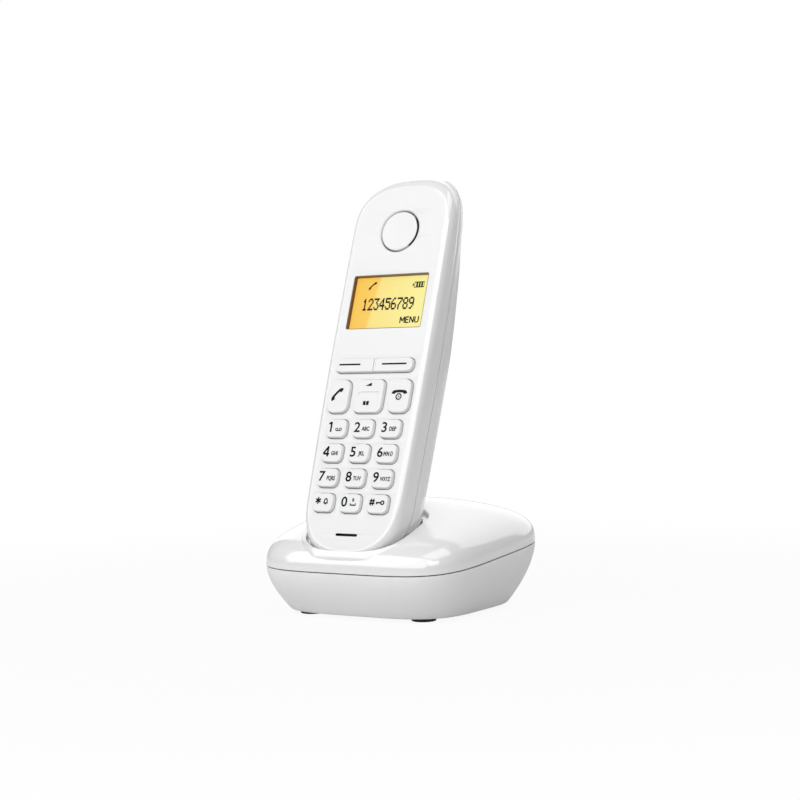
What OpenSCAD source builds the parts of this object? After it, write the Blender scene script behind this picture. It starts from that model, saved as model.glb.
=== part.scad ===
// Cordless phone: a handset standing in a small charging base.
// The origin is on the table under the middle of the base, +Z is up and the user stands at -Y.

/* [Handset] */
// Length from the bottom end to the top end
handset_h = 160.5; // [154:0.5:168]
// Width at the widest place
handset_w = 47.4; // [45:0.4:52]
// Thickness over the battery
handset_d = 25.6; // [24.6:0.2:28]
// Lean backwards while docked
handset_tilt = 19.8; // [16:0.2:23]
// Length of the rounded ends, seen from the front
end_len = 24; // [20:0.5:26]
// How much narrower the bottom end is than the widest place, on each side
side_draw = 1.1; // [0:0.1:1.6]
// Depth of the joint between front and rear shell
seam_depth = 9.4; // [8.8:0.1:10]
// Depth of the same joint at the top end
seam_top = 4.4; // [4.2:0.1:5]
// How far the top end bends back from the flat of the face
top_bend = 2.8; // [0:0.2:4]
// Width of the rounded rim beside the flat face
rim_w = 2.7; // [2:0.1:3.4]
// Depth of that rim
rim_d = 3.6; // [3:0.1:3.9]
// Wall of the handset shells
shell_wall = 1.7; // [1.4:0.1:1.9]
// Thickness of the flat face
face_wall = 2; // [1.8:0.1:2.1]

/* [Keys] */
// Distance between key columns
col_pitch = 12.6; // [12:0.1:13]
// Distance between key rows
row_pitch = 10; // [9.4:0.1:10.6]
// Height of the lowest key row above the bottom end
pad_low = 22; // [20:0.5:24]
// Number key width
key_w = 9.5; // [9:0.1:10.4]
// Number key height
key_h = 7.6; // [6.8:0.1:8]
// Call and end key width
side_key_w = 9.9; // [9.6:0.1:10.6]
// Navigation key width
nav_w = 13.4; // [13:0.1:14.4]
// Height of the call, navigation and end keys
tall_key_h = 13.8; // [13:0.1:14.2]
// Distance of call and end key from the middle
side_key_x = 14.2; // [13.9:0.1:14.6]
// Soft key width
soft_w = 17.9; // [17:0.1:18.2]
// Soft key height
soft_h = 5.8; // [5:0.1:6.2]
// How far the keys stand out of the face
key_proud = 1.4; // [1:0.1:1.6]
// Travel of a key
key_travel = 0.8; // [0.5:0.1:0.8]
// Gap around a key
key_gap = 0.25; // [0.2:0.05:0.35]

/* [Display and sound] */
// Display window width
window_w = 35.4; // [32.4:0.2:36]
// Display window height
window_h = 22.9; // [20:0.1:24]
// Height of the window's lower edge above the bottom end
window_low = 93.7; // [92.5:0.1:95]
// How deep the window lies under the face
window_deep = 0.9; // [0.6:0.1:1]
// Distance of the earpiece from the top end
ear_drop = 25.2; // [24:0.1:26.5]
// Radius of the earpiece disc
ear_r = 8.2; // [8:0.1:9.2]
// Width of the earpiece slot
ear_slot = 0.75; // [0.6:0.05:1]
// Length of the microphone slot
mic_w = 9.9; // [8:0.1:11]
// Height of the microphone slot above the bottom end
mic_low = 9.7; // [9.2:0.1:10.4]

/* [Battery] */
// Diameter of a battery cell
cell_d = 10.4; // [10:0.1:10.5]
// Length of a battery cell
cell_len = 44.5; // [43:0.1:45]
// Battery cover width
door_w = 34; // [31:0.5:35]
// Battery cover height
door_h = 61; // [59:0.5:63]
// Height of the battery cover's lower edge above the bottom end
door_low = 32; // [31:0.5:33]

/* [Base] */
// Width of the base at its joint line
base_w = 92.4; // [88:0.4:100]
// Depth of the base at its joint line
base_d = 89.6; // [86:0.4:96]
// Width of the bottom of the tub
floor_w = 77.2; // [72:0.4:82]
// Depth of the bottom of the tub
floor_d = 68.6; // [66:0.4:74]
// How far the tub's bottom stands in front of the middle
floor_forward = 2.4; // [0:0.2:4]
// Height of the joint line at the middle of the base
joint_z = 22.4; // [21.6:0.2:24]
// Slope of the joint line up to the back, in degrees
joint_slope = 4.7; // [3:0.1:6]
// Height of the cover's crown
crown_z = 43.9; // [42.6:0.1:45]
// Wall of the base shells
base_wall = 2; // [1.6:0.1:2.2]
// Height of the rubber feet under the tub
foot_h = 1.5; // [1:0.1:2]
// Diameter of a rubber foot
foot_d = 9.6; // [8:0.2:12]
// Distance between the feet from side to side
foot_span_x = 52; // [44:1:54]
// Distance between the feet from front to back
foot_span_y = 46; // [42:1:47]
// Place of the front feet
foot_front_y = -26; // [-28:0.5:-25]
// Gap between handset and cradle
cradle_gap = 0.8; // [0.6:0.1:1.2]
// Wall of the cradle
cradle_wall = 1.5; // [1.2:0.1:1.8]

/* [Sockets] */
// Opening width of the line socket
line_w = 9.8; // [9:0.1:10.4]
// Opening height of the line socket
line_h = 7; // [6.4:0.1:7.4]
// Opening width of the power socket
power_w = 7.4; // [6.6:0.1:8]
// Opening height of the power socket
power_h = 5.4; // [5:0.1:6]
// Wall of both sockets
socket_wall = 1.6; // [1.2:0.1:2]
// Depth of both openings
socket_deep = 10.5; // [9:0.5:11.5]

/* [Hidden] */
$fn = 48;
eps = 0.01;

// colours
white = [0.95, 0.95, 0.95];
key_white = [0.9, 0.9, 0.91];
amber = [0.98, 0.72, 0.26];
black = [0.08, 0.08, 0.08];
board_green = [0.12, 0.4, 0.22];
steel = [0.75, 0.76, 0.78];
gold = [0.85, 0.68, 0.3];

// outline of the handset: superellipse ends joined by slightly barrelled sides
end_power = 2.6;      // squareness of the ends
seam_power = 3.1;     // squareness of the top end from the joint line backwards
low_ratio = 1.4;      // an inset of 1 at the sides is this much at the bottom end
high_ratio = 1.85;    // and this much at the top end
arc_n = 10;           // steps in a quarter end
side_n = 8;           // steps along a side
wide_z = handset_h * 0.61;
end_low_z = end_len;
end_high_z = handset_h - end_len;

// rear of the handset: thickest at the battery, thinner towards the ear
back_power = 2.8;     // squareness of the rear's section
thin_from_z = handset_h * 0.545;
thin_by = 13.2;
bend_len = 23;
bend_from_z = handset_h - bend_len;
thin_power = 1.2;
joint_gap = 0.24;     // open line between two shells

// stack behind the face, as depths from it
flange_t = 0.6;
flange_in = 0.1;      // play between key flange and face
flange_side = 0.7;    // how far a flange reaches past its hole
nav_drop = 0.4;       // room in which the navigation key rocks
key_draft = 0.45;     // how much smaller the key top is, on each side
key_r = 2.4;          // corner radius of the keys
mat_t = 0.8;
mat_y = face_wall + flange_in + flange_t + key_travel + 0.1;
board_t = 1.2;
board_y = mat_y + mat_t;
tray_t = 1.1;
tray_y = board_y + board_t + 5;
cell_play = 0.2;
cell_y = tray_y + tray_t + cell_play + cell_d / 2;

function keypad_row(r) = pad_low + r * row_pitch;
tall_key_z = keypad_row(3) + row_pitch * 0.5 + key_h * 0.12 + tall_key_h / 2 + 0.44;
soft_z = tall_key_z + tall_key_h / 2 + 3 + soft_h / 2;
ear_z = handset_h - ear_drop;
window_z = window_low + window_h / 2;
screw_z = (soft_z + soft_h / 2 + window_low) / 2 - 0.6;
screw_x = 15.6;
mount_r = 2.3;        // bosses under the board
screw_r = 0.9;
screw_play = 0.05;
ear_dish_r = ear_r + 2;
ear_flange_r = ear_r + ear_slot + 0.9;
ear_flange_t = 0.6;
ear_ring_deep = 0.8;  // depth of the groove round the earpiece disc
ear_cone_h = 0.2;
door_gap = 0.25;
door_r = 4;

// docking: where the handset's bottom end stands
dock_y = -base_d / 2 + 2.45;
dock_z = joint_z + 1.54;
floor_play = 0.1;     // between handset and cradle floor

// cradle well, in the handset's own directions
well_power = 3.4;
well_x = handset_w / 2 - side_draw + cradle_gap;
well_front = -0.4;
well_back = handset_d + cradle_gap;
ledge_drop = 2;       // how far the ledge round the pocket lies under the cover's skin
core_top = 60;

// base
rim_power = 4.2;
floor_power = 3.8;
crown_power = 2.4;    // the cover's outline grows rounder towards its crown
crown_in = 1.39;      // crown of the cover from side to side
crown_up = 3.06;      // roundness of its shoulder
crown_slope = 0.098;
crown_drop = 3.5;
tub_power = 1.7;      // bulge of the tub's side
base_n = 32;          // steps along half of the base's outline
boss_r = 3;
boss_x = floor_w / 2 - 6.6;
floor_front_y = -floor_forward - floor_d / 2;
floor_back_y = -floor_forward + floor_d / 2;
boss_edge = 16.7;     // from the tub's front edge to the front bosses
boss_low_y = floor_front_y + boss_edge;
boss_high_y = foot_front_y + foot_span_y - 9;
boss_split_z = 16;    // where tub bosses end and cover bosses begin
base_screw_r = 1.15;
screw_head_r = 2.3;
screw_head_t = 1.3;
screw_bite = 5;       // length of a base screw in the cover's boss
slot_w = 3;           // slots in the screw's head
slot_t = 0.5;
base_board_z = 7.4;
base_board_t = 1.6;
board_half_w = boss_x - boss_r - 1;
board_low_y = floor_front_y + 8.7;
board_high_y = floor_back_y - 1.5;
paging_r = 3.6;
paging_travel = 0.8;
paging_y = 14;
socket_x = 13;
socket_play = 0.15;   // round a socket in its window
socket_y = base_d / 2 - 7.2;
foot_sunk = 0.5;      // recess that holds a foot

contact_x = 8.5;
contact_y = 13;
contact_r = 1.1;
pin_len = 8;          // of a charging pin, under the cradle's floor
pad_r = 2.2;
pad_t = 2.3;
pad_low_z = 0.95;     // height of the pads above the handset's bottom end

// ---------- shared functions ----------
function lerp(a, b, t) = a + (b - a) * t;
function se(t, power) = sign(t) * pow(abs(t), 2 / power);
function half_w(z) = handset_w / 2 - side_draw * pow((z - wide_z) / (wide_z - end_low_z), 2)
    * (z < wide_z ? 1 : 0.5);
function seam_y(z) = seam_depth - (seam_depth - seam_top)
    * pow(max(0, z - thin_from_z) / (handset_h - thin_from_z), 2);
function bend(z) = top_bend * pow(max(0, z - bend_from_z) / (handset_h - bend_from_z), 2);
function back_y(z) = handset_d - thin_by * pow(max(0, z - thin_from_z) / (handset_h - thin_from_z), thin_power);

// Half of the outline runs from the top end down the left side, and its mirror image closes it.
function close_outline(half) = concat(half, [for (i = [len(half) - 2:-1:1]) [-half[i][0], half[i][1]]]);
function outline(inset = 0, shrink = 1, top_power = end_power) =
    let (low = (end_len - inset * low_ratio) * shrink, high = (end_len - inset * high_ratio) * shrink)
    close_outline(concat(
        [for (i = [0:arc_n]) let (a = 90 + 90 * i / arc_n, z = end_high_z + high * se(sin(a), top_power))
            [(half_w(z) - inset) * shrink * se(cos(a), top_power), z]],
        [for (i = [1:side_n - 1]) let (z = lerp(end_high_z, end_low_z, i / side_n))
            [-(half_w(z) - inset) * shrink, z]],
        [for (i = [0:arc_n]) let (a = 180 + 90 * i / arc_n, z = end_low_z + low * se(sin(a), end_power))
            [(half_w(z) - inset) * shrink * se(cos(a), end_power), z]]));

// A closed solid from rings of equal length, each symmetric about x = 0.
// The first and last ring are closed by strips between mirrored points.
module ring_solid(rings) {
    n = len(rings[0]);
    last = len(rings) - 1;
    m = n / 2;
    function cap(r) = concat(
        [[r * n, r * n + 1, r * n + n - 1]],
        [for (i = [1:m - 2]) [r * n + i, r * n + i + 1, r * n + n - i - 1, r * n + n - i]],
        [[r * n + m - 1, r * n + m, r * n + m + 1]]);
    function flip(faces) = [for (f = faces) [for (i = [len(f) - 1:-1:0]) f[i]]];
    sides = [for (r = [0:last - 1]) for (i = [0:n - 1])
        let (j = (i + 1) % n, a = r * n + i, b = r * n + j, c = a + n, d = b + n)
        each [[a, b, d], [a, d, c]]];
    polyhedron([for (ring = rings) each ring], concat(sides, flip(cap(0)), cap(last)), convexity = 6);
}

// ---------- handset surfaces ----------
function ring_at(inset, y) = [for (p = outline(inset)) [p[0], y + bend(p[1]), p[1]]];
function ring_seam(inset, shift) = [for (p = outline(inset, 1, seam_power)) [p[0], seam_y(p[1]) + bend(p[1]) + shift, p[1]]];
function ring_back(inset, t) =
    let (up = sin(t), shrink = pow(1 - pow(up, back_power), 1 / back_power))
    [for (p = outline(inset, shrink, seam_power))
        [p[0], bend(p[1]) + lerp(seam_y(p[1]) + joint_gap / 2, back_y(p[1]) - inset, up), p[1]]];

rim_steps = [0:18:90];
back_steps = [80, 70, 60, 48, 36, 24, 12, 0];
front_outer = concat(
    [for (t = rim_steps) ring_at(rim_w * (1 - sin(t)), rim_d * (1 - cos(t)))],
    [ring_seam(0, -joint_gap / 2)]);
front_inner = [ring_seam(shell_wall, -joint_gap / 2), ring_at(shell_wall, rim_d - 0.3),
    ring_at(shell_wall + 0.5, face_wall + 0.4), ring_at(shell_wall + rim_w * 0.5, face_wall)];
rear_rings = concat([for (t = back_steps) ring_back(shell_wall, t)],
    [for (i = [len(back_steps) - 1:-1:0]) ring_back(0, back_steps[i])]);

// Places the handset's own directions (x across, y into the handset, z up along it) in the base.
module dock() {
    translate([0, dock_y, dock_z]) rotate([-handset_tilt, 0, 0]) children();
}
// Extrudes a flat shape drawn in x and z, from depth y0 to depth y1.
module through(y0, y1) {
    translate([0, y1, 0]) rotate([90, 0, 0]) linear_extrude(y1 - y0) children();
}
module round_rect(w, h, r) {
    square([w - 2 * r, h], center = true);
    square([w, h - 2 * r], center = true);
    for (x = [-1, 1], y = [-1, 1]) translate([x * (w / 2 - r), y * (h / 2 - r)]) circle(r);
}

// every key as [x, z, width, height, corner radius]
number_keys = [for (r = [3:-1:0]) for (c = [-1:1]) [c * col_pitch, keypad_row(r), key_w, key_h, key_r]];
call_spec = [-side_key_x, tall_key_z, side_key_w, tall_key_h, key_r + 0.8];
end_spec = [side_key_x, tall_key_z, side_key_w, tall_key_h, key_r + 0.8];
nav_spec = [0, tall_key_z, nav_w, tall_key_h, key_r + 0.4];
soft_split = 0.1;     // half of the gap between the soft keys
soft_x = soft_w / 2 + 2 * soft_split;

module key_shape(spec, grow) {
    translate([spec[0], spec[1]]) round_rect(spec[2] + 2 * grow, spec[3] + 2 * grow, spec[4] + grow);
}
// A key cap: a tapered top, a straight body in its hole and a flange behind the face.
module key_cap(spec, drop = 0) {
    flange_y = face_wall + flange_in + drop;
    hull() {
        through(-key_proud, -key_proud + 0.05) key_shape(spec, -key_draft, $fn = 24);
        through(-key_proud * 0.4, -key_proud * 0.4 + 0.05) key_shape(spec, 0, $fn = 24);
    }
    through(-key_proud * 0.4, flange_y + eps) key_shape(spec, 0, $fn = 24);
    through(flange_y, flange_y + flange_t)
        key_shape(spec, min(flange_side, (col_pitch - key_w) / 2 - 0.2), $fn = 24);
}
module number_key(index) {
    color(key_white) dock() key_cap(number_keys[index]);
}
module single_key(spec, drop = 0) {
    color(key_white) dock() key_cap(spec, drop);
}
// The two soft keys are one bar, cut in the middle.
module soft_key(side) {
    bar_w = 2 * soft_x + soft_w;
    color(key_white) dock() difference() {
        key_cap([0, soft_z, bar_w, soft_h, key_r]);
        translate([side > 0 ? soft_split - bar_w : -soft_split, -2 * key_proud, soft_z - soft_h])
            cube([bar_w, 2 * mat_y, 2 * soft_h]);
    }
}

// ---------- handset parts ----------
module board_post(x, z) {
    translate([x, board_y, z]) rotate([90, 0, 0]) cylinder(r = mount_r, h = board_y - face_wall + eps);
}
module handset_front_shell() {
    color(white) dock() difference() {
        union() {
            ring_solid(concat(front_outer, front_inner));
            for (x = [-screw_x, screw_x]) board_post(x, screw_z);
            for (x = [-screw_x, screw_x]) board_post(x * 0.85, window_low + window_h + 6);
            for (x = [-11.5, 11.5]) board_post(x, mic_low + 2.6);
        }
        for (spec = concat(number_keys, [call_spec, end_spec, nav_spec]))
            through(-1, face_wall + 0.2) key_shape(spec, key_gap);
        through(-1, face_wall + 0.2) translate([0, soft_z])
            round_rect(2 * (soft_x + soft_w / 2 + key_gap), soft_h + 2 * key_gap, key_r + key_gap);
        through(-1, face_wall + 0.5) translate([0, window_z]) round_rect(window_w, window_h, 0.8);
        through(-1, face_wall + 0.2) translate([0, mic_low]) round_rect(mic_w, 1, 0.49);
        translate([0, face_wall + 1, ear_z]) rotate([90, 0, 0]) cylinder(r = ear_r + ear_slot, h = face_wall + 2);
        translate([0, 0.7, ear_z]) rotate([90, 0, 0]) cylinder(r1 = ear_r + ear_slot, r2 = ear_dish_r, h = 0.7 + eps);
        translate([0, face_wall + 1.2, ear_z]) rotate([90, 0, 0]) cylinder(r = ear_flange_r + 0.1, h = 1.2);
        for (x = [-screw_x, screw_x]) translate([x, board_y + 1, screw_z]) rotate([90, 0, 0])
            cylinder(r = screw_r + screw_play, h = board_y - 0.4);
    }
}

tray_x = cell_d + cell_play + 2.6;
tray_low = door_low + 2.6;
bay_low = tray_low + tray_t;
spring_room = 1.6;
plate_t = 0.4;
cell_nub = 1;
bay_high = bay_low + cell_len + spring_room + plate_t + 0.1;
tray_back = cell_y + cell_d / 2 - 2;

module rear_posts(r, y0, y1) {
    for (x = [-screw_x, screw_x]) translate([x, y1, screw_z]) rotate([90, 0, 0]) cylinder(r = r, h = y1 - y0);
}
module handset_rear_shell() {
    color(white) dock() difference() {
        union() {
            difference() {
                ring_solid(rear_rings);
                through(tray_y + 2, handset_d + 2) translate([0, door_low + door_h / 2])
                    round_rect(door_w, door_h, door_r);
            }
            through(tray_y, tray_y + tray_t) intersection() {
                polygon(outline(shell_wall * 0.5));
                translate([0, door_low + door_h / 2]) square([handset_w, door_h + 4], center = true);
            }
            difference() {
                through(tray_y, tray_back) translate([0, (bay_low + bay_high) / 2])
                    square([2 * tray_x, bay_high - bay_low + 2 * tray_t], center = true);
                through(tray_y - 1, tray_back + 1) translate([0, (bay_low + bay_high) / 2])
                    square([2 * (tray_x - tray_t), bay_high - bay_low], center = true);
            }
            rear_posts(mount_r, board_y + board_t, tray_y + eps);
        }
        rear_posts(screw_r + screw_play, board_y, tray_y + 3);
        for (x = [-contact_x, contact_x]) translate([x, contact_y, 0]) {
            translate([0, 0, -1]) cylinder(r = pad_r + screw_play, h = 6);
            translate([0, 0, pad_low_z + pad_t - 0.1]) cylinder(r = pad_r + 0.9, h = 6);
        }
        ringer_holes();
    }
}
ringer_z = ear_z - 14;
ringer_r = 7;
module ringer_holes() {
    for (ring = [0:2], k = [0:max(0, 6 * ring - 1)]) let (a = 360 * k / max(1, 6 * ring))
        translate([2 * ring * cos(a), seam_y(ringer_z) + 2, ringer_z + 2 * ring * sin(a)])
            rotate([-90, 0, 0]) cylinder(r = 0.6, h = handset_d, $fn = 16);
}

hook_t = 0.9;
module battery_cover() {
    color(white) dock() {
        difference() {
            intersection() {
                ring_solid(rear_rings);
                through(tray_y + 2, handset_d + 2) translate([0, door_low + door_h / 2])
                    round_rect(door_w - 2 * door_gap, door_h - 2 * door_gap, door_r - door_gap);
            }
            translate([0, handset_d + 1.6, door_low + door_h - 5]) rotate([0, 90, 0])
                cylinder(r = 2.4, h = 9, center = true);
        }
        for (x = [-8, 8]) translate([x - 2, handset_d - shell_wall - 1.2 - hook_t, door_low - 1.8]) {
            cube([4, hook_t, 4.6]);
            translate([0, 0, 2.6]) cube([4, hook_t + 1.6, 2]);
        }
    }
}

module display_lens() {
    color(amber) dock() {
        through(window_deep, face_wall + eps) translate([0, window_z]) round_rect(window_w - 0.2, window_h - 0.2, 0.7);
        through(face_wall, lens_back) translate([0, window_z]) round_rect(window_w + 3, window_h + 3, 1.5);
    }
}
lens_back = face_wall + 0.6;
module display_module() {
    color(steel) dock() difference() {
        through(lens_back, board_y) translate([0, window_z]) square([window_w + 4, window_h + 4], center = true);
        through(lens_back - 1, lens_back + 0.3) translate([0, window_z]) square([window_w, window_h], center = true);
    }
}
// The crescent beside the earpiece disc that lets the sound out.
module ear_crescent(width) intersection() {
    difference() {
        circle(ear_r + width);
        circle(ear_r);
    }
    polygon([[0, 0], for (a = [-51:23:41]) 2 * ear_r * [cos(a), sin(a)]]);
}
module earpiece_disc() {
    color(white) dock() translate([0, 0, ear_z]) rotate([90, 0, 0]) {
        translate([0, 0, -face_wall - ear_flange_t]) linear_extrude(ear_flange_t) difference() {
            circle(ear_flange_r);
            ear_crescent(ear_slot);
        }
        translate([0, 0, -face_wall]) linear_extrude(face_wall - ear_ring_deep) difference() {
            circle(ear_r + ear_slot - 0.05);
            ear_crescent(2 * ear_slot);
        }
        translate([0, 0, -ear_ring_deep]) cylinder(r = ear_r, h = ear_ring_deep - ear_cone_h);
        translate([0, 0, -ear_cone_h]) cylinder(r1 = ear_r, r2 = ear_r - 2.5, h = ear_cone_h);
    }
}
module earpiece_speaker() {
    color(black) dock() translate([0, face_wall + 0.6, ear_z]) rotate([-90, 0, 0]) {
        cylinder(r = ear_r + 0.8, h = 2.2);
        cylinder(r = ear_r - 2.4, h = 4.4);
    }
}
module ringer_speaker() {
    ringer_y = back_y(ringer_z) - shell_wall - 1.7;
    color(black) dock() translate([0, ringer_y, ringer_z]) rotate([90, 0, 0]) {
        cylinder(r = ringer_r, h = 2.4);
        cylinder(r = ringer_r - 2.6, h = ringer_y - board_y - board_t);
    }
}
module microphone() {
    color(steel) dock() translate([0, face_wall, mic_low]) rotate([-90, 0, 0]) cylinder(r = 3, h = board_y - face_wall);
}
module keypad_mat() {
    color([0.75, 0.76, 0.78]) dock() through(mat_y, board_y) difference() {
        low = pad_low - key_h / 2 - 1;
        high = soft_z + soft_h / 2 + 1;
        translate([0, (low + high) / 2]) round_rect(2 * (soft_x + soft_w / 2), high - low, 3);
        for (x = [-screw_x, screw_x]) translate([x, screw_z]) circle(mount_r + 0.3);
    }
}
module handset_board() {
    color(board_green) dock() difference() {
        through(board_y, board_y + board_t) intersection() {
            polygon(outline(shell_wall + 1.6));
            translate([0, mic_low - 4]) translate([-handset_w / 2, 0]) square([handset_w, ear_z - 11 - mic_low + 4]);
        }
        rear_posts(screw_r + screw_play, board_y - 1, board_y + board_t + 1);
    }
}
// Two cells lie head to tail: each stands on a spring and its nub meets a plate.
module cell_places() {
    translate([cell_d / 2 + cell_play, cell_y, bay_low]) children();
    translate([-cell_d / 2 - cell_play, cell_y, bay_high]) rotate([180, 0, 0]) children();
}
module battery_cells() {
    color("silver") dock() cell_places() translate([0, 0, spring_room]) {
        cylinder(d = cell_d, h = cell_len - cell_nub);
        cylinder(d = cell_d * 0.36, h = cell_len);
    }
}
module battery_springs() {
    wire_r = 0.3;
    turn_step = 0.36;
    color(steel) dock() cell_places() {
        for (turn = [0:2]) translate([0, 0, wire_r + 0.05 + turn * turn_step])
            rotate_extrude($fn = 24) translate([cell_d / 4 - 0.45 * turn, 0]) circle(wire_r, $fn = 16);
        translate([-cell_d / 3, -cell_d / 3, spring_room + cell_len + 0.1])
            cube([cell_d / 1.5, cell_d / 1.5, plate_t]);
    }
}
module handset_contacts() {
    color(gold) dock() for (x = [-contact_x, contact_x]) translate([x, contact_y, pad_low_z]) {
        cylinder(r = pad_r, h = pad_t);
        translate([0, 0, pad_t]) cylinder(r = pad_r + 0.8, h = 0.7);
    }
}
module handset_screws() {
    color(steel) dock() for (x = [-screw_x, screw_x]) translate([x, tray_y + tray_t, screw_z]) {
        rotate([90, 0, 0]) cylinder(r = screw_r, h = tray_y + tray_t - 2);
        difference() {
            rotate([-90, 0, 0]) cylinder(r = 1.7, h = 1.1);
            for (a = [0, 90]) rotate([0, a, 0]) translate([-1.1, 0.5, -0.2]) cube([2.2, 1, 0.4]);
        }
    }
}

// ---------- base surfaces ----------
function joint_at(y) = joint_z + y * tan(joint_slope);
function crown_at(y) = crown_z + crown_slope * y - crown_drop * pow(2 * y / base_d, 2);
function oval(w, d, power, i) = let (a = 90 + 180 * i / base_n)
    let (r = pow(pow(abs(cos(a)), power) + pow(abs(sin(a)), power), -1 / power))
    [w / 2 * r * cos(a), d / 2 * r * sin(a)];
function oval_ring(w, d, power) = close_outline([for (i = [0:base_n]) oval(w, d, power, i)]);
rim_ring = oval_ring(base_w, base_d, rim_power);
floor_ring = [for (p = oval_ring(floor_w, floor_d, floor_power)) p - [0, floor_forward]];

function cover_ring(inset, t) =
    let (up = sin(t), s = pow(1 - pow(up, crown_up), 1 / crown_in), kx = 1 - 2 * inset / base_w)
    [for (p = oval_ring(base_w, base_d, lerp(crown_power, rim_power, s))) let (q = p * s * kx)
        [q[0], q[1], lerp(joint_at(q[1]) + joint_gap / 2, crown_at(q[1]) - inset, up)]];
cover_steps = [0, 8, 16, 24, 32, 41, 50, 60, 70, 80];
function cover_rings(inset) = [for (i = [len(cover_steps) - 1:-1:0]) cover_ring(inset, cover_steps[i])];

function tub_ring(inset, s) = let (k = 1 - 2 * inset / base_w) [for (i = [0:len(rim_ring) - 1])
    let (p = lerp(rim_ring[i], floor_ring[i], pow(s, tub_power)) * k)
    [p[0], p[1], lerp(joint_at(p[1]) - joint_gap / 2, foot_h + inset, s)]];
tub_steps = [0, 0.12, 0.26, 0.42, 0.58, 0.72, 0.84, 0.94, 1];
tub_rings = concat([for (i = [len(tub_steps) - 1:-1:0]) tub_ring(base_wall, tub_steps[i])],
    [for (s = tub_steps) tub_ring(0, s)]);

// The cradle well in plan, looking along the handset
function well_shape(grow) =
    let (mid = (well_front + well_back) / 2, half = (well_back - well_front) / 2)
    [for (i = [0:47]) let (a = 360 * i / 48)
        [(well_x + grow) * se(cos(a), well_power), mid + (half + grow) * se(sin(a), well_power)]];
module well(grow, low, high) {
    dock() translate([0, 0, low]) linear_extrude(high - low) polygon(well_shape(grow));
}
well_floor = -floor_play;
// The handset's outside grown on every side, which is the pocket that holds it
function grown_rings(grow) = concat(
    [for (t = rim_steps) ring_at(rim_w * (1 - sin(t)) - grow, rim_d * (1 - cos(t)) - grow / 2)],
    [ring_seam(-grow, -joint_gap / 2)],
    [for (i = [len(back_steps) - 1:-1:0]) ring_back(-grow, back_steps[i])]);
module pocket(grow) {
    dock() intersection() {
        ring_solid(grown_rings(cradle_gap + grow));
        translate([-handset_w, -handset_w, well_floor - grow]) cube(2 * handset_w);
    }
}
// The part of the well above a surface that lies a little under the cover's skin
module ledge(grow, drop) {
    difference() {
        well(grow, well_floor - grow, core_top);
        ring_solid(concat(cover_rings(drop), [[for (p = cover_ring(drop, 0)) [p[0], p[1], 0]]]));
    }
}

module at_bosses() {
    for (x = [-boss_x, boss_x], y = [boss_low_y, boss_high_y]) translate([x, y, 0]) children();
}
// What stays solid inside the cover: the pocket's wall and floor, and the screw bosses
module cover_core() {
    pocket(cradle_wall);
    at_bosses() translate([0, 0, boss_split_z]) cylinder(r = boss_r, h = core_top);
}
module below_joint() {
    translate([0, 0, joint_z]) rotate([joint_slope, 0, 0]) translate([0, 0, -joint_z])
        linear_extrude(joint_z + 1) polygon(rim_ring * (1 - 4 * base_wall / base_w));
}
module base_cover() {
    color(white) difference() {
        union() {
            difference() {
                ring_solid(cover_rings(0));
                difference() {
                    translate([0, 0, -eps]) ring_solid(cover_rings(base_wall));
                    cover_core();
                    ledge(cradle_wall, ledge_drop + cradle_wall);
                }
            }
            intersection() {
                cover_core();
                below_joint();
            }
        }
        pocket(0);
        ledge(0, ledge_drop);
        for (x = [-contact_x, contact_x]) dock() translate([x, contact_y, -pin_len - 1])
            cylinder(r = contact_r + screw_play, h = 2 * pin_len + 2);
        at_bosses() translate([0, 0, boss_split_z - 1]) cylinder(r = base_screw_r + screw_play, h = 9);
    }
}
module base_tub() {
    floor_top = foot_h + base_wall;
    color(white) difference() {
        union() {
            ring_solid(tub_rings);
            at_bosses() translate([0, 0, floor_top - 0.5]) cylinder(r = boss_r, h = boss_split_z - floor_top + 0.4);
            for (x = [-1, 1], y = [board_low_y + 5, board_high_y - 5])
                translate([x * (board_half_w - 4), y, floor_top - 0.5]) cylinder(r = 2.2, h = base_board_z - floor_top + 0.5);
        }
        at_bosses() {
            translate([0, 0, -1]) cylinder(r = screw_head_r + 0.2, h = foot_h + screw_head_t + 1);
            cylinder(r = base_screw_r + 0.1, h = boss_split_z + 1);
        }
        at_feet() cylinder(d = foot_d + 0.2, h = foot_h + foot_sunk);
        translate([0, paging_y, 0]) cylinder(r = paging_r + 0.2, h = floor_top + 1);
        socket_window(-socket_x, line_w, line_h);
        socket_window(socket_x, power_w, power_h);
    }
}
module at_feet() {
    for (x = [-foot_span_x / 2, foot_span_x / 2], y = [foot_front_y, foot_front_y + foot_span_y])
        translate([x, y, 0]) children();
}
socket_z = base_board_z + base_board_t;
module socket_window(x, w, h) {
    outer = w + 2 * (socket_wall + socket_play);
    translate([x - outer / 2, socket_y - socket_deep, socket_z - socket_play])
        cube([outer, 2 * socket_deep, h + 2 * (socket_wall + socket_play)]);
}
// A socket block on the board, open towards the back
module socket(x, w, h) {
    outer = w + 2 * socket_wall;
    translate([x, socket_y, socket_z]) difference() {
        translate([-outer / 2, -socket_deep - socket_wall, 0]) cube([outer, socket_deep + socket_wall, h + 2 * socket_wall]);
        translate([-w / 2, -socket_deep, socket_wall]) cube([w, socket_deep + 1, h]);
        children();
    }
}
module line_socket() {
    // the latch slot under the opening
    color(black) socket(-socket_x, line_w, line_h)
        translate([-line_w * 0.2, -socket_deep * 0.6, socket_wall / 2]) cube([line_w * 0.4, socket_deep, socket_wall]);
}
module power_socket() {
    color(black) socket(socket_x, power_w, power_h);
}
module base_board() {
    color(board_green) difference() {
        translate([-board_half_w, board_low_y, base_board_z])
            cube([2 * board_half_w, board_high_y - board_low_y, base_board_t]);
        at_bosses() translate([0, 0, base_board_z - 1]) cylinder(r = boss_r + 0.3, h = base_board_t + 2);
    }
}
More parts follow.
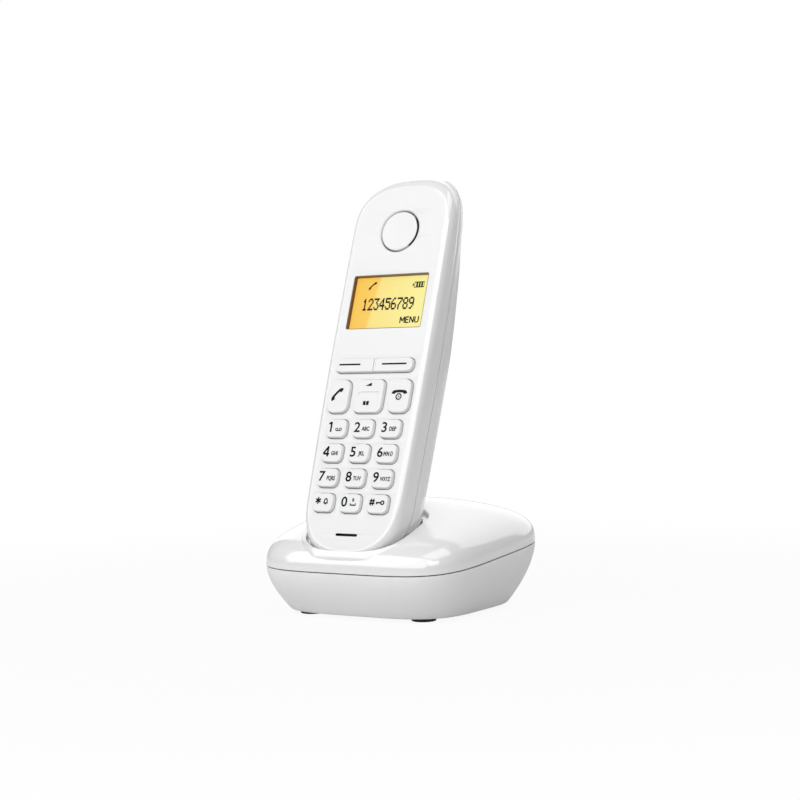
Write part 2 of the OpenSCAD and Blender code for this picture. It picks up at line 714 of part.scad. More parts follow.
module base_contacts() {
    collar = 2;
    color(gold) dock() for (x = [-contact_x, contact_x]) translate([x, contact_y, 0]) {
        translate([0, 0, -pin_len]) cylinder(r = contact_r, h = pin_len + pad_low_z - 0.1 - contact_r);
        translate([0, 0, pad_low_z - 0.1 - contact_r]) sphere(contact_r);
        translate([0, 0, well_floor - cradle_wall - collar]) cylinder(r = contact_r + 1, h = collar);
    }
}
module paging_key() {
    flange_z = foot_h + base_wall + 0.05;
    color(key_white) translate([0, paging_y, 0]) {
        translate([0, 0, foot_h + 0.3]) cylinder(r = paging_r, h = flange_z - foot_h);
        translate([0, 0, flange_z]) cylinder(r = paging_r + 1.2, h = 1);
        translate([0, 0, flange_z]) cylinder(r = 1.5, h = base_board_z - flange_z - paging_travel - 0.1);
    }
}
module rubber_feet() {
    color(black) at_feet() cylinder(d = foot_d, h = foot_h + foot_sunk);
}
module base_screws() {
    color(steel) at_bosses() {
        difference() {
            translate([0, 0, foot_h + 0.2]) cylinder(r = screw_head_r, h = screw_head_t - 0.2);
            for (a = [0, 90]) rotate([0, 0, a]) translate([-slot_w / 2, -slot_t / 2, foot_h]) cube([slot_w, slot_t, 0.8]);
        }
        translate([0, 0, foot_h + 1]) cylinder(r = base_screw_r, h = boss_split_z - foot_h + screw_bite);
    }
}

handset_front_shell();
handset_rear_shell();
battery_cover();
display_lens();
display_module();
earpiece_disc();
earpiece_speaker();
ringer_speaker();
microphone();
keypad_mat();
handset_board();
battery_cells();
battery_springs();
handset_contacts();
handset_screws();
number_key(0);  // key_1
number_key(1);  // key_2
number_key(2);  // key_3
number_key(3);  // key_4
number_key(4);  // key_5
number_key(5);  // key_6
number_key(6);  // key_7
number_key(7);  // key_8
number_key(8);  // key_9
number_key(9);  // key_star
number_key(10);  // key_0
number_key(11);  // key_hash
single_key(call_spec);  // call_key
single_key(nav_spec, nav_drop);  // navigation_key
single_key(end_spec);  // end_key
soft_key(-1);  // left_soft_key
soft_key(1);  // right_soft_key
base_cover();
base_tub();
base_board();
base_contacts();
line_socket();
power_socket();
paging_key();
rubber_feet();
base_screws();
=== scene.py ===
# Cordless phone: a handset standing in a small charging base.
# Settings are in millimetres and degrees. Meshes are in metres, in the frame's own directions.
import math
import bpy
import numpy as np
from mathutils import Matrix, Vector


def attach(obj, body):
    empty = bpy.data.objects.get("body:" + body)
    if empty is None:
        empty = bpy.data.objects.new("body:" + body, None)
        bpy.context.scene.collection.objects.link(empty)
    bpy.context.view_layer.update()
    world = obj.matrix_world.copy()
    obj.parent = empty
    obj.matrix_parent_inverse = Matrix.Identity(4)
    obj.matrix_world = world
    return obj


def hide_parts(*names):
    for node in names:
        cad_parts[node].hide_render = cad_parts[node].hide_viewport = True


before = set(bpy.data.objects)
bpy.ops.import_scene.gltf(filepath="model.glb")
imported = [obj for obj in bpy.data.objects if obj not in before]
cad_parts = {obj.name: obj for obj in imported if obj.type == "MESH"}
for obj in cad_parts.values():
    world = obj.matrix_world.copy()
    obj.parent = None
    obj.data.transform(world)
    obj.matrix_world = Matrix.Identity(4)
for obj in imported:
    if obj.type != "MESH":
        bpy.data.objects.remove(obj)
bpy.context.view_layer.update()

scene = bpy.context.scene
mm = 0.001


def addObject(name, data):
    thing = bpy.data.objects.new(name, data)
    scene.collection.objects.link(thing)
    return thing


cameraSettings = {
    "place": (379.14, -586.83, 101.11),
    "turn": 32.815,    # to the left of straight ahead
    "pitch": -1.455,
    "roll": -1.357,
    "lens": 78.52,
}


def addCamera(s):
    turn, pitch, roll = (math.radians(s[name]) for name in ("turn", "pitch", "roll"))
    ahead = Vector((-math.sin(turn) * math.cos(pitch), math.cos(turn) * math.cos(pitch), math.sin(pitch)))
    right = Vector((math.cos(turn), math.sin(turn), 0))
    up = right.cross(ahead)
    right, up = right * math.cos(roll) + up * math.sin(roll), up * math.cos(roll) - right * math.sin(roll)
    data = bpy.data.cameras.new("camera")
    data.lens, data.sensor_width, data.clip_start = s["lens"], 36, 0.01
    camera = addObject("camera", data)
    turned = Matrix((right, up, -ahead)).transposed().to_4x4()
    camera.matrix_world = Matrix.Translation(Vector(s["place"]) * mm) @ turned
    scene.camera = camera


addCamera(cameraSettings)
print("camera placed")

# finishes: each has grain or mottling on Object coordinates, at the size of the real finish
coatRough, coatIor = 0.11, 1.75
finishSettings = {
    # colour, roughness, coat, grain size and depth, how much the colour varies, specular level
    "faceWhite": ((0.81, 0.81, 0.816), 0.55, 0, 0.22, 0.012, 0.015, 0.5),
    "glossWhite": ((0.78, 0.78, 0.787), 0.12, 1, 2.5, 0.004, 0.012, 0.5),
    "satinWhite": ((0.82, 0.82, 0.828), 0.38, 0, 0.35, 0.006, 0.015, 0.5),
    "keyWhite": ((0.77, 0.77, 0.778), 0.34, 0.1, 0.3, 0.004, 0.015, 0.5),
    "innerWhite": ((0.7, 0.7, 0.705), 0.6, 0, 0.5, 0.01, 0.02, 0.5),
    # real black of the speakers and sockets, and also painted shade on the walls of the microphone and
    # earpiece slots
    "blackPlastic": ((0.018, 0.018, 0.02), 0.4, 0, 0.3, 0.008, 0.3, 0.5),
    "blackRubber": ((0.025, 0.025, 0.026), 0.75, 0, 0.18, 0.03, 0.3, 0.5),
    "greyRubber": ((0.42, 0.43, 0.44), 0.65, 0, 0.25, 0.01, 0.05, 0.5),
    "brownFrame": ((0.16, 0.075, 0.032), 0.35, 0, 0.2, 0.006, 0.2, 0.5),
    "keyInk": ((0.004, 0.004, 0.005), 0.5, 0, 0.1, 0.002, 0.3, 0.15),
    "letterInk": ((0.014, 0.014, 0.015), 0.5, 0, 0.1, 0.002, 0.2, 0.15),
    # painted shade for the gaps round the keys and round the earpiece disc
    "seamGrey": ((0.16, 0.16, 0.163), 0.7, 0, 0.2, 0.01, 0.1, 0.5),
    "cellSleeve": ((0.1, 0.25, 0.12), 0.3, 0.2, 1.2, 0.004, 0.1, 0.5),
}
metalSettings = {
    # colour, roughness, grain size and depth
    "brightMetal": ((0.62, 0.62, 0.63), 0.28, 0.12, 0.004),
    "contactGold": ((0.83, 0.62, 0.28), 0.25, 0.1, 0.003),
}
boardSettings = {
    "grain": 0.6, "deep": 0.01, "rough": 0.3,
    "runs": {"Scale": 160, "Mortar Size": 0.06, "Mortar": (0.04, 0.25, 0.1, 1),
             "Color1": (0.012, 0.11, 0.04, 1), "Color2": (0.014, 0.13, 0.05, 1)},
}
# size of the patches in which colour and roughness wander, and how far the roughness does
wander = {"colour": 20, "rough": 5, "plastic": (0.88, 1.12), "metalRough": 10 / 7, "metal": (0.7, 1.4)}
finish = {}


def newMaterial(name):
    material = bpy.data.materials.new(name)
    material.use_nodes = True
    finish[name] = material
    return material.node_tree, material.node_tree.nodes["Principled BSDF"]


# gives each input its value, or a link where the value is another node's output
def setInputs(node, inputs):
    for name, value in inputs.items():
        if isinstance(value, bpy.types.NodeSocket):
            node.id_data.links.new(value, node.inputs[name])
        else:
            node.inputs[name].default_value = value


def addNode(tree, kind, inputs, **options):
    node = tree.nodes.new(kind)
    for name, value in options.items():
        setattr(node, name, value)
    setInputs(node, inputs)
    return node


def addNoise(tree, place, size, detail):
    inputs = {"Vector": place, "Scale": 1 / (size * mm), "Detail": detail}
    return addNode(tree, "ShaderNodeTexNoise", inputs).outputs["Fac"]


def addRange(tree, value, limits, **options):
    return addNode(tree, "ShaderNodeMapRange", {"Value": value, **limits}, **options).outputs["Result"]


def addMix(tree, share, first, second):
    mix = addNode(tree, "ShaderNodeMix", {"Factor": share, "A": first, "B": second}, data_type="RGBA")
    return mix.outputs["Result"]


def addMath(tree, operation, first, second):
    return addNode(tree, "ShaderNodeMath", {0: first, 1: second}, operation=operation).outputs[0]


# fine grain: noise of the given size pushes the surface by the given depth
def addGrain(tree, shader, size, deep):
    place = addNode(tree, "ShaderNodeTexCoord", {}).outputs["Object"]
    bump = addNode(tree, "ShaderNodeBump", {"Height": addNoise(tree, place, size, 3), "Distance": deep * mm,
                                            "Strength": 1})
    setInputs(shader, {"Normal": bump.outputs["Normal"]})
    return place


def addWear(tree, place, size, detail, rough, shares):
    low, high = (rough * share for share in shares)
    return addRange(tree, addNoise(tree, place, size, detail), {"To Min": low, "To Max": high})


# moulded plastic
def plastic(name, colour, rough, coat, grain, deep, vary, specular):
    tree, shader = newMaterial(name)
    place = addGrain(tree, shader, grain, deep)
    dark, light = ([min(1, c * share) for c in colour] for share in (1 - vary, 1 + vary))
    mix = addMix(tree, addNoise(tree, place, wander["colour"], 2), (*dark, 1), (*light, 1))
    wear = addWear(tree, place, wander["rough"], 2, rough, wander["plastic"])
    setInputs(shader, {"Base Color": mix, "Roughness": wear, "Specular IOR Level": specular,
                       "Coat Weight": coat, "Coat Roughness": coatRough, "Coat IOR": coatIor})


def metal(name, colour, rough, grain, deep):
    tree, shader = newMaterial(name)
    place = addGrain(tree, shader, grain, deep)
    wear = addWear(tree, place, wander["metalRough"], 3, rough, wander["metal"])
    setInputs(shader, {"Roughness": wear, "Base Color": (*colour, 1), "Metallic": 1})


# circuit board: green lacquer with lighter copper runs under it
def boardLacquer(s):
    tree, shader = newMaterial("boardGreen")
    place = addGrain(tree, shader, s["grain"], s["deep"])
    runs = addNode(tree, "ShaderNodeTexBrick", {"Vector": place, **s["runs"]})
    setInputs(shader, {"Base Color": runs.outputs["Color"], "Roughness": s["rough"]})


for name, values in finishSettings.items():
    plastic(name, *values)
for name, values in metalSettings.items():
    metal(name, *values)
boardLacquer(boardSettings)
print("materials made:", len(finish))

# the handset's own directions: x across, y into the handset, z up along it
handset = {
    "height": 160.5, "width": 47.4, "depth": 25.6, "lean": 19.8,
    "endLength": 24, "sideDraw": 1.1, "endPower": 2.6, "seamPower": 3.1, "lowRatio": 1.4, "highRatio": 1.85,
    "seamDepth": 9.4, "seamTop": 4.4, "topBend": 2.8, "bendLength": 23,
    "rimWidth": 2.7, "rimDepth": 3.6, "wall": 1.7, "faceWall": 2,
    "backPower": 2.8, "thinFrom": 0.545, "thinBy": 13.2, "thinPower": 1.2, "widestAt": 0.61,
    "jointGap": 0.24, "edgeRadius": 0.25, "boardDepth": 4.4,
    "endSteps": 26, "sideSteps": 34, "rimSteps": 12, "backSteps": 22,
}
dockPlace = (0, -42.35, 23.94)
lean = math.radians(handset["lean"])


# turns points from the handset's directions in mm to the row frame in metres
def toDock(points):
    x, y, z = np.asarray(points, float).T
    return np.stack([x + dockPlace[0], dockPlace[1] + y * math.cos(lean) + z * math.sin(lean),
                     dockPlace[2] - y * math.sin(lean) + z * math.cos(lean)], 1) * mm


# the same way back, from the row frame in metres to the handset's directions in mm
def fromDock(points):
    x, y, z = (np.asarray(points, float) / mm - dockPlace).T
    return np.stack([x, y * math.cos(lean) - z * math.sin(lean), y * math.sin(lean) + z * math.cos(lean)], 1)


def toBase(points):
    return np.asarray(points, float) * mm


def lerp(a, b, t):
    return a + (b - a) * t


# points on a circle of radius one between two angles
def unitArc(start, end, steps):
    a = np.radians(np.linspace(start, end, steps + 1))
    return np.stack([np.cos(a), np.sin(a)], 1)


# signed power that turns a circle's sine or cosine into a superellipse's
def superPower(value, power):
    return np.sign(value) * np.abs(value) ** (2 / power)


# share of the way from a height to the handset's top, and 0 below it
def above(z, start):
    return np.maximum(0, z - start) / (handset["height"] - start)


# the sides are drawn in by a parabola, half as much above the widest place as below it
def halfWidth(z):
    wide = handset["height"] * handset["widestAt"]
    away = ((z - wide) / (wide - handset["endLength"])) ** 2 * np.where(z < wide, 1, 0.5)
    return handset["width"] / 2 - handset["sideDraw"] * away


# depth of the joint between the shells, which comes forward with the square of the share above thinFrom
def seamAt(z):
    rise = above(z, handset["height"] * handset["thinFrom"]) ** 2
    return handset["seamDepth"] - (handset["seamDepth"] - handset["seamTop"]) * rise


# how far the top end bends back: the square of the share above its start
def bendAt(z):
    return handset["topBend"] * above(z, handset["height"] - handset["bendLength"]) ** 2


# depth of the back, which thins towards the top by a power of the same share
def backAt(z):
    thin = above(z, handset["height"] * handset["thinFrom"]) ** handset["thinPower"]
    return handset["depth"] - handset["thinBy"] * thin


# outline from the top end down the left side, then its mirror image: superellipse ends, barrelled sides
def outline(inset, shrink=1, topPower=handset["endPower"]):
    low, high = handset["endLength"], handset["height"] - handset["endLength"]
    top = superPower(unitArc(90, 180, handset["endSteps"]), topPower)
    foot = superPower(unitArc(180, 270, handset["endSteps"]), handset["endPower"])
    topLength = (handset["endLength"] - inset * handset["highRatio"]) * shrink
    lowLength = (handset["endLength"] - inset * handset["lowRatio"]) * shrink
    sides = np.linspace(high, low, handset["sideSteps"] + 1)[1:-1]
    z = np.concatenate([high + topLength * top[:, 1], sides, low + lowLength * foot[:, 1]])
    across = np.concatenate([top[:, 0], -np.ones(len(sides)), foot[:, 0]])
    half = np.stack([(halfWidth(z) - inset) * shrink * across, z], 1)
    return np.concatenate([half, (half * (-1, 1))[-2:0:-1]])


# ring of the front: the outline at an inset, at a depth that follows the bend
def ringAt(inset, y):
    x, z = outline(inset).T
    return np.stack([x, y + bendAt(z), z], 1)


# ring at the joint: a squarer outline at an inset, at the joint's depth and a shift
def seamRing(inset, shift):
    x, z = outline(inset, 1, handset["seamPower"]).T
    return np.stack([x, seamAt(z) + bendAt(z) + shift, z], 1)


# ring of the rear: shrinks towards the back as a superellipse's quarter does
def backRing(inset, turn):
    up = math.sin(math.radians(turn))
    shrink = (1 - up ** handset["backPower"]) ** (1 / handset["backPower"])
    x, z = outline(inset, shrink, handset["seamPower"]).T
    return np.stack([x, bendAt(z) + lerp(seamAt(z) + handset["jointGap"] / 2, backAt(z) - inset, up), z], 1)


# side faces between rings of equal length, and end caps: "flat" is one face, "strips" join mirrored points
def skinRings(rings, startCap="flat", endCap="flat"):
    rows, count = len(rings), len(rings[0])
    i = np.arange(count)
    j = (i + 1) % count
    start = np.arange(rows - 1)[:, None] * count
    faces = np.stack([start + i, start + j, start + count + j, start + count + i], 2).reshape(-1, 4).tolist()
    half = count // 2
    for cap, first in ((startCap, 0), (endCap, (rows - 1) * count)):
        new = []
        if cap == "flat":
            new = [(first + i).tolist()]
        elif cap == "strips":
            left = first + np.arange(1, half - 1)
            right = 2 * first + count - left
            new = [[first, first + 1, first + count - 1]]
            new += np.stack([left, left + 1, right - 1, right], 1).tolist()
            new += [[first + half - 1, first + half, first + half + 1]]
        faces += [f[::-1] for f in new] if first == 0 else new
    return np.concatenate(rings), faces


# six times the volume that the faces enclose, negative where they look inwards
def signedVolume(points, faces):
    total = 0.0
    for corners in {len(f) for f in faces}:
        f = np.array([face for face in faces if len(face) == corners])
        for n in range(1, corners - 1):
            total += np.einsum("ij,ij->", points[f[:, 0]], np.cross(points[f[:, n]], points[f[:, n + 1]]))
    return total


# rings skinned into a closed part whose faces look outwards
def solidPart(rings, startCap="flat", endCap="flat"):
    points, faces = skinRings(rings, startCap, endCap)
    return points, faces if signedVolume(points, faces) > 0 else [f[::-1] for f in faces]


def boxPart(low, high):
    (x0, y0, z0), (x1, y1, z1) = low, high
    return solidPart([np.array([(x0, y0, z), (x1, y0, z), (x1, y1, z), (x0, y1, z)]) for z in (z0, z1)])


def joinParts(parts):
    points, faces, shift = [], [], 0
    for partPoints, partFaces in parts:
        points.append(np.asarray(partPoints, float))
        faces += [[corner + shift for corner in face] for face in partFaces]
        shift += len(partPoints)
    return np.concatenate(points), faces


def smoothBy(piece, angle=35):
    piece.data.polygons.foreach_set("use_smooth", np.ones(len(piece.data.polygons), bool))
    piece.data.set_sharp_from_angle(angle=math.radians(angle))


def addPiece(name, part, materials, place=toDock, indices=None, smooth=35):
    points, faces = part
    mesh = bpy.data.meshes.new(name)
    mesh.from_pydata(place(points).tolist(), [], faces)
    for material in materials:
        mesh.materials.append(finish[material])
    if indices is not None:
        mesh.polygons.foreach_set("material_index", np.asarray(indices, np.int32))
    piece = addObject(name, mesh)
    if smooth:
        smoothBy(piece, smooth)
    return piece


def seat(piece, body, slot, *replaced):
    if replaced:
        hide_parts(*replaced)
    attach(piece, body)


# the mesh as its modifiers leave it, which are then taken off
def bakedMesh(piece):
    mesh = bpy.data.meshes.new_from_object(piece.evaluated_get(bpy.context.evaluated_depsgraph_get()))
    piece.modifiers.clear()
    return mesh


# cuts away a closed part, joins it or keeps what both share; the new faces have the given finish,
# and the slower exact solver steps in where the first one leaves nothing
def carve(piece, part, material, how="DIFFERENCE", place=toDock):
    tool = addPiece("tool", part, [material], place, smooth=None)
    for solver in ("MANIFOLD", "EXACT"):
        change = piece.modifiers.new("carve", "BOOLEAN")
        change.operation, change.object, change.solver = how, tool, solver
        result = bakedMesh(piece)
        if len(result.polygons) > 10:
            break
    piece.data = result
    bpy.data.objects.remove(tool)
    smoothBy(piece)


# one measure of all vertices or faces, as an array
def readAll(items, name, width=1, kind=float):
    values = np.zeros(len(items) * width, kind)
    items.foreach_get(name, values)
    return values.reshape(-1, width) if width > 1 else values


def meshParts(mesh):
    return readAll(mesh.vertices, "co", 3), [list(f.vertices) for f in mesh.polygons]


# middles of a mesh's faces in the handset's directions
def faceMiddles(mesh):
    return fromDock(readAll(mesh.polygons, "center", 3)).T


# rounded rectangle, anticlockwise, with the same number of points at any size
def roundRect(wide, high, radius, steps=8):
    radius = max(0.05, min(radius, wide / 2 - 0.01, high / 2 - 0.01))
    corner = unitArc(0, 90, steps) * radius
    turned = [corner, corner[:, ::-1] * (-1, 1), -corner, corner[:, ::-1] * (1, -1)]
    x, z = wide / 2 - radius, high / 2 - radius
    middles = ((x, z), (-x, z), (-x, -z), (x, -z))
    return np.concatenate([arc + middle for arc, middle in zip(turned, middles)])


def circle(x, y, radius, count):
    a = np.linspace(0, 2 * np.pi, count, endpoint=False)
    return np.stack([x + radius * np.cos(a), y + radius * np.sin(a)], 1)


# a flat outline in x and z, stood up as a ring at a depth
def standing(flat, y):
    return np.stack([flat[:, 0], np.full(len(flat), y), flat[:, 1]], 1)


# rings of a rounded rectangle, each grown and laid at its own depth
def rectRings(spec, steps, cornerSteps=8):
    x, z, wide, high, radius = spec
    return [standing(roundRect(wide + 2 * grow, high + 2 * grow, radius + grow, cornerSteps) + (x, z), y)
            for grow, y in steps]


# rings round an axis along the handset's depth, from pairs of radius and depth
def latheRings(profile, x, z, count=72):
    return [standing(circle(x, z, radius, count), y) for radius, y in profile]


# rings round an axis along the third direction
def uprightRings(profile, x, y, count=48):
    return [np.column_stack([circle(x, y, radius, count), np.full(count, z)]) for radius, z in profile]


# places on both sides, at the same distance from the middle
def mirrored(x, places):
    return [(side * x, place) for side in (-1, 1) for place in places]


# a round rod, whose rings stand along the depth or upright
def rod(ringsOf, radius, low, high, x, y, count=48):
    return solidPart(ringsOf([(radius, low), (radius, high)], x, y, count))


# keys: each stands at x, z, and has a width, a height and a corner radius
keys = {
    "columnPitch": 12.6, "rowPitch": 10, "lowestRow": 22,
    "width": 9.5, "height": 7.6, "radius": 2.4, "sideRadius": 3.2, "navRadius": 2.8,
    "sideWidth": 9.9, "sideX": 14.2, "navWidth": 13.4, "tallHeight": 13.8, "tallZ": 65.25,
    "softWidth": 17.9, "softHeight": 5.8, "softX": 9.15, "softZ": 78.05,
    "proud": 1.4, "draft": 0.22, "shoulder": 0.22, "gap": 0.25, "dish": 0.05,
    "flangeTop": 2.1, "flangeThick": 0.6, "flangeSide": 0.7, "navDrop": 0.4,
}
keyPlaces = {}
for number, label in enumerate("1 2 3 4 5 6 7 8 9 star 0 hash".split()):
    row, column = divmod(number, 3)
    x, z = (column - 1) * keys["columnPitch"], keys["lowestRow"] + (3 - row) * keys["rowPitch"]
    keyPlaces["key_" + label] = (x, z, keys["width"], keys["height"], keys["radius"])
for name, x, wide, radius in (("call_key", -keys["sideX"], keys["sideWidth"], keys["sideRadius"]),
                              ("navigation_key", 0, keys["navWidth"], keys["navRadius"]),
                              ("end_key", keys["sideX"], keys["sideWidth"], keys["sideRadius"])):
    keyPlaces[name] = (x, keys["tallZ"], wide, keys["tallHeight"], radius)
for name, x in (("left_soft_key", -keys["softX"]), ("right_soft_key", keys["softX"])):
    keyPlaces[name] = (x, keys["softZ"], keys["softWidth"], keys["softHeight"], keys["radius"])
softBar = (0, keys["softZ"], 2 * keys["softX"] + keys["softWidth"], keys["softHeight"], keys["radius"])

# openings and fittings of the face, with places given as for the keys
windowPlace = (0, 105.15, 35.4, 22.9, 0.8)
micPlace = (0, 9.7, 9.9, 1, 0.49)
groove = {"place": (0.95, 64.6, 40.6, 16.2, 4.2), "wide": 0.55, "deep": 0.45}
ear = {"z": 135.3, "disc": 8.2, "slot": 0.75, "dish": 10.2, "flange": 9.85, "collar": 1.5,
       "from": -51, "to": 41}       # angles between which the slot is open
posts = {"radius": 2.3, "places": ((15.6, 86.7), (13.3, 122.4), (11.5, 12.3))}      # on both sides
eased = {"key": 0.14, "window": 0.1, "mic": 0.08}


# a hole through the face, whose edge is eased by the given amount
def holeSteps(grow, edge):
    return [(grow, handset["faceWall"] + 0.6), (grow, edge), (grow + edge * 0.3, edge * 0.3),
            (grow + edge, -0.002), (grow + edge * 1.4, -1.5)]


def faceHoles():
    keyHoles = [spec for name, spec in keyPlaces.items() if "soft" not in name] + [softBar]
    holes = [(spec, keys["gap"], eased["key"]) for spec in keyHoles]
    holes += [(windowPlace, 0, eased["window"]), (micPlace, 0, eased["mic"])]
    cuts = [solidPart(rectRings(spec, holeSteps(grow, edge))) for spec, grow, edge in holes]
    hole, edge = ear["disc"] + ear["slot"], ear["dish"]
    dish = [(hole, handset["faceWall"] + 1), (hole, 0.7), (hole + 0.2, 0.34), (hole + 0.6, 0.1), (edge, 0),
            (edge + 0.3, -0.1), (edge + 0.4, -2)]
    return joinParts(cuts + [solidPart(latheRings(dish, 0, ear["z"]))])


# a frame with sloping sides round the three function keys
def grooveRing():
    half = groove["wide"] / 2
    outer = rectRings(groove["place"], [(half, groove["deep"]), (half + 0.1, -1)])
    inner = rectRings(groove["place"], [(-half - 0.1, -1), (-half, groove["deep"])])
    return solidPart(outer + inner + outer[:1], None, None)


# painted shade: the walls of the microphone slot are painted black, for the dark inside the deep slot
def paintMicSlotShade(mesh):
    mesh.materials.append(finish["blackPlastic"])
    x, y, z = faceMiddles(mesh)
    _, low, wide, high, _ = micPlace
    inside = (np.abs(x) < wide / 2 + 0.02) & (np.abs(z - low) < high / 2 + 0.02) & (y > 0.05)
    indices = readAll(mesh.polygons, "material_index", kind=int)
    indices[inside & (y < handset["faceWall"])] = len(mesh.materials) - 1
    mesh.polygons.foreach_set("material_index", indices)


# front shell: a rim of a quarter ellipse, sides to the joint, then back inside the wall; the openings are
# cut out, and posts carry the board
def makeFrontShell():
    wall, face, rim, deep = (handset[name] for name in ("wall", "faceWall", "rimWidth", "rimDepth"))
    quarter = unitArc(0, 90, handset["rimSteps"])
    rings = [ringAt(rim * (1 - up), deep * (1 - across)) for across, up in quarter]
    edge, lip = handset["edgeRadius"], -handset["jointGap"] / 2
    rings += [lerp(rings[-1], seamRing(0, lip - edge), t) for t in (0.33, 0.67, 1)]
    rings += [seamRing(edge * 0.3, lip - edge * 0.3), seamRing(edge, lip), seamRing(wall, lip),
              ringAt(wall, deep - 0.3), ringAt(wall + 0.5, face + 0.4), ringAt(wall + rim * 0.5, face)]
    part = solidPart(rings, "strips", "strips")
    indices = np.zeros(len(part[1]), int)       # the flat face is matt, the rim and the sides are glossy
    indices[:(len(rings) - 1) * len(rings[0])] = 1
    shell = addPiece("frontShell", part, ["faceWhite", "glossWhite"], indices=indices)
    carve(shell, faceHoles(), "faceWhite")
    carve(shell, grooveRing(), "faceWhite")
    rods = [rod(latheRings, posts["radius"], face - 0.1, handset["boardDepth"], side * x, z, 32)
            for x, z in posts["places"] for side in (1, -1)]
    carve(shell, joinParts(rods), "faceWhite", "UNION")
    paintMicSlotShade(shell.data)
    seat(shell, "handset", "face_white", "handset_front_shell")


makeFrontShell()
print("front shell made")

rear = {
    "trayDepth": 10.6, "trayThick": 1.1, "trayHalf": 13.2, "trayBack": 20.3, "bayLow": 35.7, "bayHigh": 82.3,
    "doorLow": 32, "doorWidth": 34, "doorHeight": 61, "doorRadius": 4, "doorGap": 0.25,
    "ringerZ": 121.5, "holePitch": 2, "holeRadius": 0.6, "screwX": 15.6, "screwZ": 86.7, "screwRadius": 0.95,
    "padX": 8.5, "padY": 13, "padRadius": 2.25, "hookX": 8, "hookHalf": 2,
    # the thumb's notch lies across the door, this far below its top: x and radius along it
    "notchDown": 5, "notch": ((-5.6, 0.6), (-5.2, 1.5), (-4.5, 2.4), (4.5, 2.4), (5.2, 1.5), (5.6, 0.6)),
}
doorMiddle = rear["doorLow"] + rear["doorHeight"] / 2
doorPlace = (0, doorMiddle, rear["doorWidth"], rear["doorHeight"], rear["doorRadius"])
padPlaces = mirrored(rear["padX"], [rear["padY"]])
screwPlaces = mirrored(rear["screwX"], [rear["screwZ"]])


# the whole rear as one wall: from the back along its inside to the joint, and along its outside again,
# by angles of 0 at the joint and 90 at the back
def rearWall():
    outer = np.concatenate([[0, 1.2], np.linspace(4, 72, handset["backSteps"]), [77, 81, 84.5, 87.5, 89.3]])
    inner = (80, 70, 60, 48, 36, 24, 12, 0)
    rings = [backRing(handset["wall"], t) for t in inner] + [backRing(0, t) for t in outer]
    return solidPart(rings, "strips", "strips")


def doorBlock(grow):
    return solidPart(rectRings(doorPlace, [(grow, rear["trayDepth"] + 2), (grow, handset["depth"] + 3)]))


# floor and four walls of the battery tray
def trayParts():
    half, thick, top = rear["trayHalf"], rear["trayThick"], rear["trayDepth"]
    low, high, inner, back = rear["bayLow"], rear["bayHigh"], half - 0.2, rear["trayBack"]
    wide = halfWidth(doorMiddle) - handset["wall"] * 0.5
    plate = rectRings((0, doorMiddle, 2 * wide, rear["doorHeight"] + 4, 1), [(0, top), (0, top + thick)])
    spans = ((-half, thick - half, low - thick, high + thick),
             (half - thick, half, low - thick, high + thick),
             (-inner, inner, low - thick, low), (-inner, inner, high, high + thick))
    walls = [boxPart((left, top + 0.2, start), (right, back, end)) for left, right, start, end in spans]
    return [solidPart(plate)] + walls


# sound holes in rings of 1, 6 and 12, two holes for the pads and two for the screws
def rearHoles():
    middle, pitch, top = rear["ringerZ"], rear["holePitch"], rear["trayDepth"]
    cuts = [rod(latheRings, rear["holeRadius"], seamAt(middle) + 2, handset["depth"], x, z, 16)
            for ring in range(3) for x, z in circle(0, middle, pitch * ring, max(1, 6 * ring))]
    cuts += [rod(uprightRings, rear["padRadius"], -1, 4, x, y) for x, y in padPlaces]
    cuts += [rod(latheRings, rear["screwRadius"], top - 1, top + 3, x, z, 24) for x, z in screwPlaces]
    return joinParts(cuts)


# rear shell: its wall less the door, with the battery tray joined to it
def makeRearShell():
    shell = addPiece("rearShell", rearWall(), ["glossWhite", "innerWhite"])
    carve(shell, doorBlock(0), "glossWhite")
    for part in trayParts():
        carve(shell, part, "innerWhite", "UNION")
    carve(shell, rearHoles(), "innerWhite")
    seat(shell, "handset", "gloss_white", "handset_rear_shell")


# battery cover: what the rear's wall and the door share, less the thumb's notch, with two hooks
def makeBatteryCover():
    cover = addPiece("batteryCover", rearWall(), ["glossWhite"])
    carve(cover, doorBlock(-rear["doorGap"]), "glossWhite", "INTERSECT")
    y, z = handset["depth"] + 1.6, rear["doorLow"] + rear["doorHeight"] - rear["notchDown"]
    notch = [np.column_stack([np.full(40, x), circle(z, y, radius, 40)[:, ::-1]])
             for x, radius in rear["notch"]]
    carve(cover, solidPart(notch), "glossWhite")
    y, low, half = handset["depth"] - handset["wall"] - 1.2, rear["doorLow"], rear["hookHalf"]
    for x in (-rear["hookX"], rear["hookX"]):
        for start, back in ((-1.8, 0), (0.8, 1.6)):       # a tongue, and the block that holds it
            hook = boxPart((x - half, y - 0.9, low + start), (x + half, y + back, low + 2.8))
            carve(cover, hook, "glossWhite", "UNION")
    seat(cover, "battery_cover", "gloss_white", "battery_cover")


makeRearShell()
makeBatteryCover()
print("rear shell and battery cover made")

# legends: flat ink on the keys and on the display, as patches of points in x and z with their faces
ink = {
    "digitHeight": 4.1, "digitX": -2.6, "digitZ": 0.45, "digitSqueeze": 1.04, "digitBold": 0.018,
    "digitPen": 0.78, "letterHeight": 1.72, "letterX": 1.35, "letterZ": -0.2, "letterBold": 0.034,
    "letterPen": 0.3, "penLeft": -2.15, "penPitch": 1.5, "hang": 0.28, "rise": 0.025,
}


